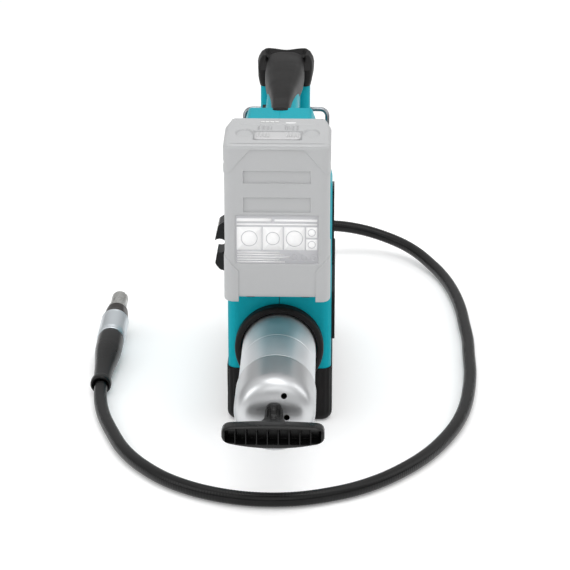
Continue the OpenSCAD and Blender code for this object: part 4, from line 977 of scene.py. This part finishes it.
def base_bumper(rubber):
    """Tray: rings of the plan's outline, from the floor round a soft lower edge up the wall, over the
    rim and down inside. The rear wall's rim dips under the collar as a circle, and upright ribs stand
    at the corners."""
    low, high = span("base_bumper")
    half, rear, front, top = high[0], low[1], high[1], high[2]
    nose = 33.0
    outline = rounded([(0, rear, 0), (half, rear, 9), (half, front - 51, 30), (nose, front - 17, 20),
                       (nose, front, 7), (-nose, front, 7), (-nose, front - 17, 20),
                       (-half, front - 51, 30), (-half, rear, 9)], 12)
    total = length_round(outline)
    place = np.linspace(0, total, 721)[:-1]
    at, out = spread(outline, place)
    x, y = at[:, 0], at[:, 1]
    collar = 35.4
    dip = AXIS_Z - np.sqrt(np.maximum(collar ** 2 - x ** 2, 0))
    on_rear = y < rear + 12
    rim = np.where(on_rear & (np.abs(x) < collar), np.minimum(top, dip), top)
    outlet = (y > front - 4) & (np.abs(x) < 10.4)
    rim = np.where(outlet, np.minimum(rim, 50 - np.sqrt(np.maximum(10.4 ** 2 - x ** 2, 0))), rim)
    r = 7.0
    a = np.linspace(0, np.pi / 2, 9)[:, None]
    t = np.linspace(0, 1, 30)[1:, None]
    wall_z = r + t * (rim - 0.8 - r)
    z = np.r_[level(x, 0), r - r * np.cos(a) + 0 * x, wall_z, rim[None] - 0.2, rim[None],
              rim[None], rim[None] - 1.5, level(x, 4), level(x, 3)]
    d = np.r_[level(x, 16), r - r * np.sin(a) + 0 * x, 0 * wall_z, level(x, 0.25), level(x, 0.9),
              level(x, 2.6), level(x, 3.3), level(x, 3.4), level(x, 12)]
    wall = np.zeros_like(z)
    wall[10:39] = 1
    from_corner = np.minimum(np.abs(place - (half - 4)), np.abs(place - (total - half + 4)))
    ribs = (0.5 - 0.5 * np.cos(2 * np.pi * place / 4.5)) ** 3 * up_to(from_corner, 15, 3)
    long_groove = beyond(np.abs(x), half - 1, 0.3) * within(y, rear + 30, front - 62, 1)
    d = d + wall * 0.55 * ribs * beyond(z, 6, 2)
    d = d + wall * 0.6 * long_groove * (within(z, 16, 17.2, 0.6) + within(z, 28, 29.2, 0.6))
    window = up_to(np.hypot(y - (rear + 11.5), z - 22), 3.6) * (np.abs(x) > half - 3)
    d = d + wall * 1.5 * window
    grid = np.stack([x - out[:, 0] * d, y - out[:, 1] * d, z + 0 * x], -1)
    return piece("base_bumper_rubber", *closed_grid(grid), rubber, "housing", ["base_bumper"],
                 "black_rubber", flat=45)


# ---- build ------------------------------------------------------------------------------

make_camera()
hose_finish = ribbed_rubber("hose_rubber")
hose, hose_line, hose_length = delivery_hose(hose_finish)

barrel_centre = (0, 0, AXIS_Z * MM)
teal = moulded("teal_plastic", (0.0, 0.300, 0.365), 0.42, 0.0007, 0.00002, edge=0.0009, specular=0.08)
rubber = moulded("black_rubber", (0.005, 0.0045, 0.0045), 0.48, 0.0006, 0.00005, edge=0.0006, specular=0.15)
dark_plastic = moulded("black_plastic", (0.004, 0.004, 0.004), 0.28, 0.0007, 0.00002, edge=0.0005,
                       specular=0.22)
grey_plastic = moulded("battery_plastic", (0.42, 0.425, 0.43), 0.42, 0.0007, 0.000015, shade=0.96, edge=0.0)
latch_plastic = moulded("latch_plastic", (0.50, 0.50, 0.505), 0.42, 0.0007, 0.000015, shade=0.95)
label_film = moulded("label_film", (0.52, 0.52, 0.54), 0.35, 0.002, 0.000005, shade=0.97)
white_film = moulded("white_print", (0.88, 0.88, 0.88), 0.4, 0.002, 0.000005, shade=0.98)
tube_steel = turned_metal("tube_steel", (0.82, 0.84, 0.86), 0.46, barrel_centre)
cap_steel = turned_metal("cap_steel", (0.58, 0.59, 0.60), 0.35, barrel_centre, radial=True,
                         depth=0.000001, stain=0.96)
machined = bare_metal("machined_steel", (0.56, 0.57, 0.58), 0.3)
blasted = bare_metal("blasted_alloy", (0.50, 0.53, 0.56), 0.42, 0.0004, 0.00002)
sleeve_alloy = turned_metal("sleeve_alloy", (0.66, 0.70, 0.73), 0.36, tuple(COUPLER_AT * MM), depth=0.000008)
chrome = bare_metal("bright_wire", (0.30, 0.32, 0.34), 0.16, 0.003, 0.000004, edge=0.0)
ring_dark = bare_metal("blackened_ring", (0.07, 0.062, 0.06), 0.40, 0.0009, 0.00002, wear=0.6)
nose_steel = worn_steel("worn_nose", tuple(COUPLER_AT * MM))
brass = bare_metal("plain_brass", (0.62, 0.45, 0.18), 0.3)
stator = laminated("laminated_iron")
board = circuit_board("solder_mask")
lens = clear_lens("lamp_cover")
cell_film = moulded("cell_film", (0.05, 0.20, 0.30), 0.28, 0.003, 0.00001, coat=0.3)
cartridge = moulded("cartridge_plastic", (0.66, 0.56, 0.28), 0.35, 0.0015, 0.00001)

FINISHES = {
    "teal_plastic": teal, "black_rubber": rubber, "black_plastic": dark_plastic, "steel": machined,
    "barrel_steel": tube_steel, "alloy": blasted, "wire_chrome": chrome, "brass": brass,
    "board_green": board, "stator_iron": stator, "battery_plastic": grey_plastic, "label": label_film,
    "button_white": white_film, "cell_wrap": cell_film, "cartridge_plastic": cartridge,
    "lamp_glass": lens, "hose_rubber": hose_finish, "ring_black": ring_dark,
}
for entry in frame["record"]["subparts"]:
    cad = nodes[entry["node"]]
    cad.data.materials.clear()
    cad.data.materials.append(FINISHES[entry["material_slot"]])

coupler = coupler_pieces(dark_plastic, sleeve_alloy, ring_dark, nose_steel)
barrel_pieces(tube_steel, cap_steel, rubber)
t_handle(dark_plastic)
wire_bail(chrome)
battery = BatteryPlan()
battery_body(battery, grey_plastic)
battery_cover(battery, grey_plastic)
battery_guards(battery, grey_plastic)
battery_label(battery, label_film, white_film)
battery_buttons(battery, latch_plastic, white_film, lens)
handle_grip(rubber)
head_bumper(rubber)
base_bumper(rubber)
rear_face_marks(rubber)
make_studio()
bpy.context.scene.view_settings.view_transform = "Standard"
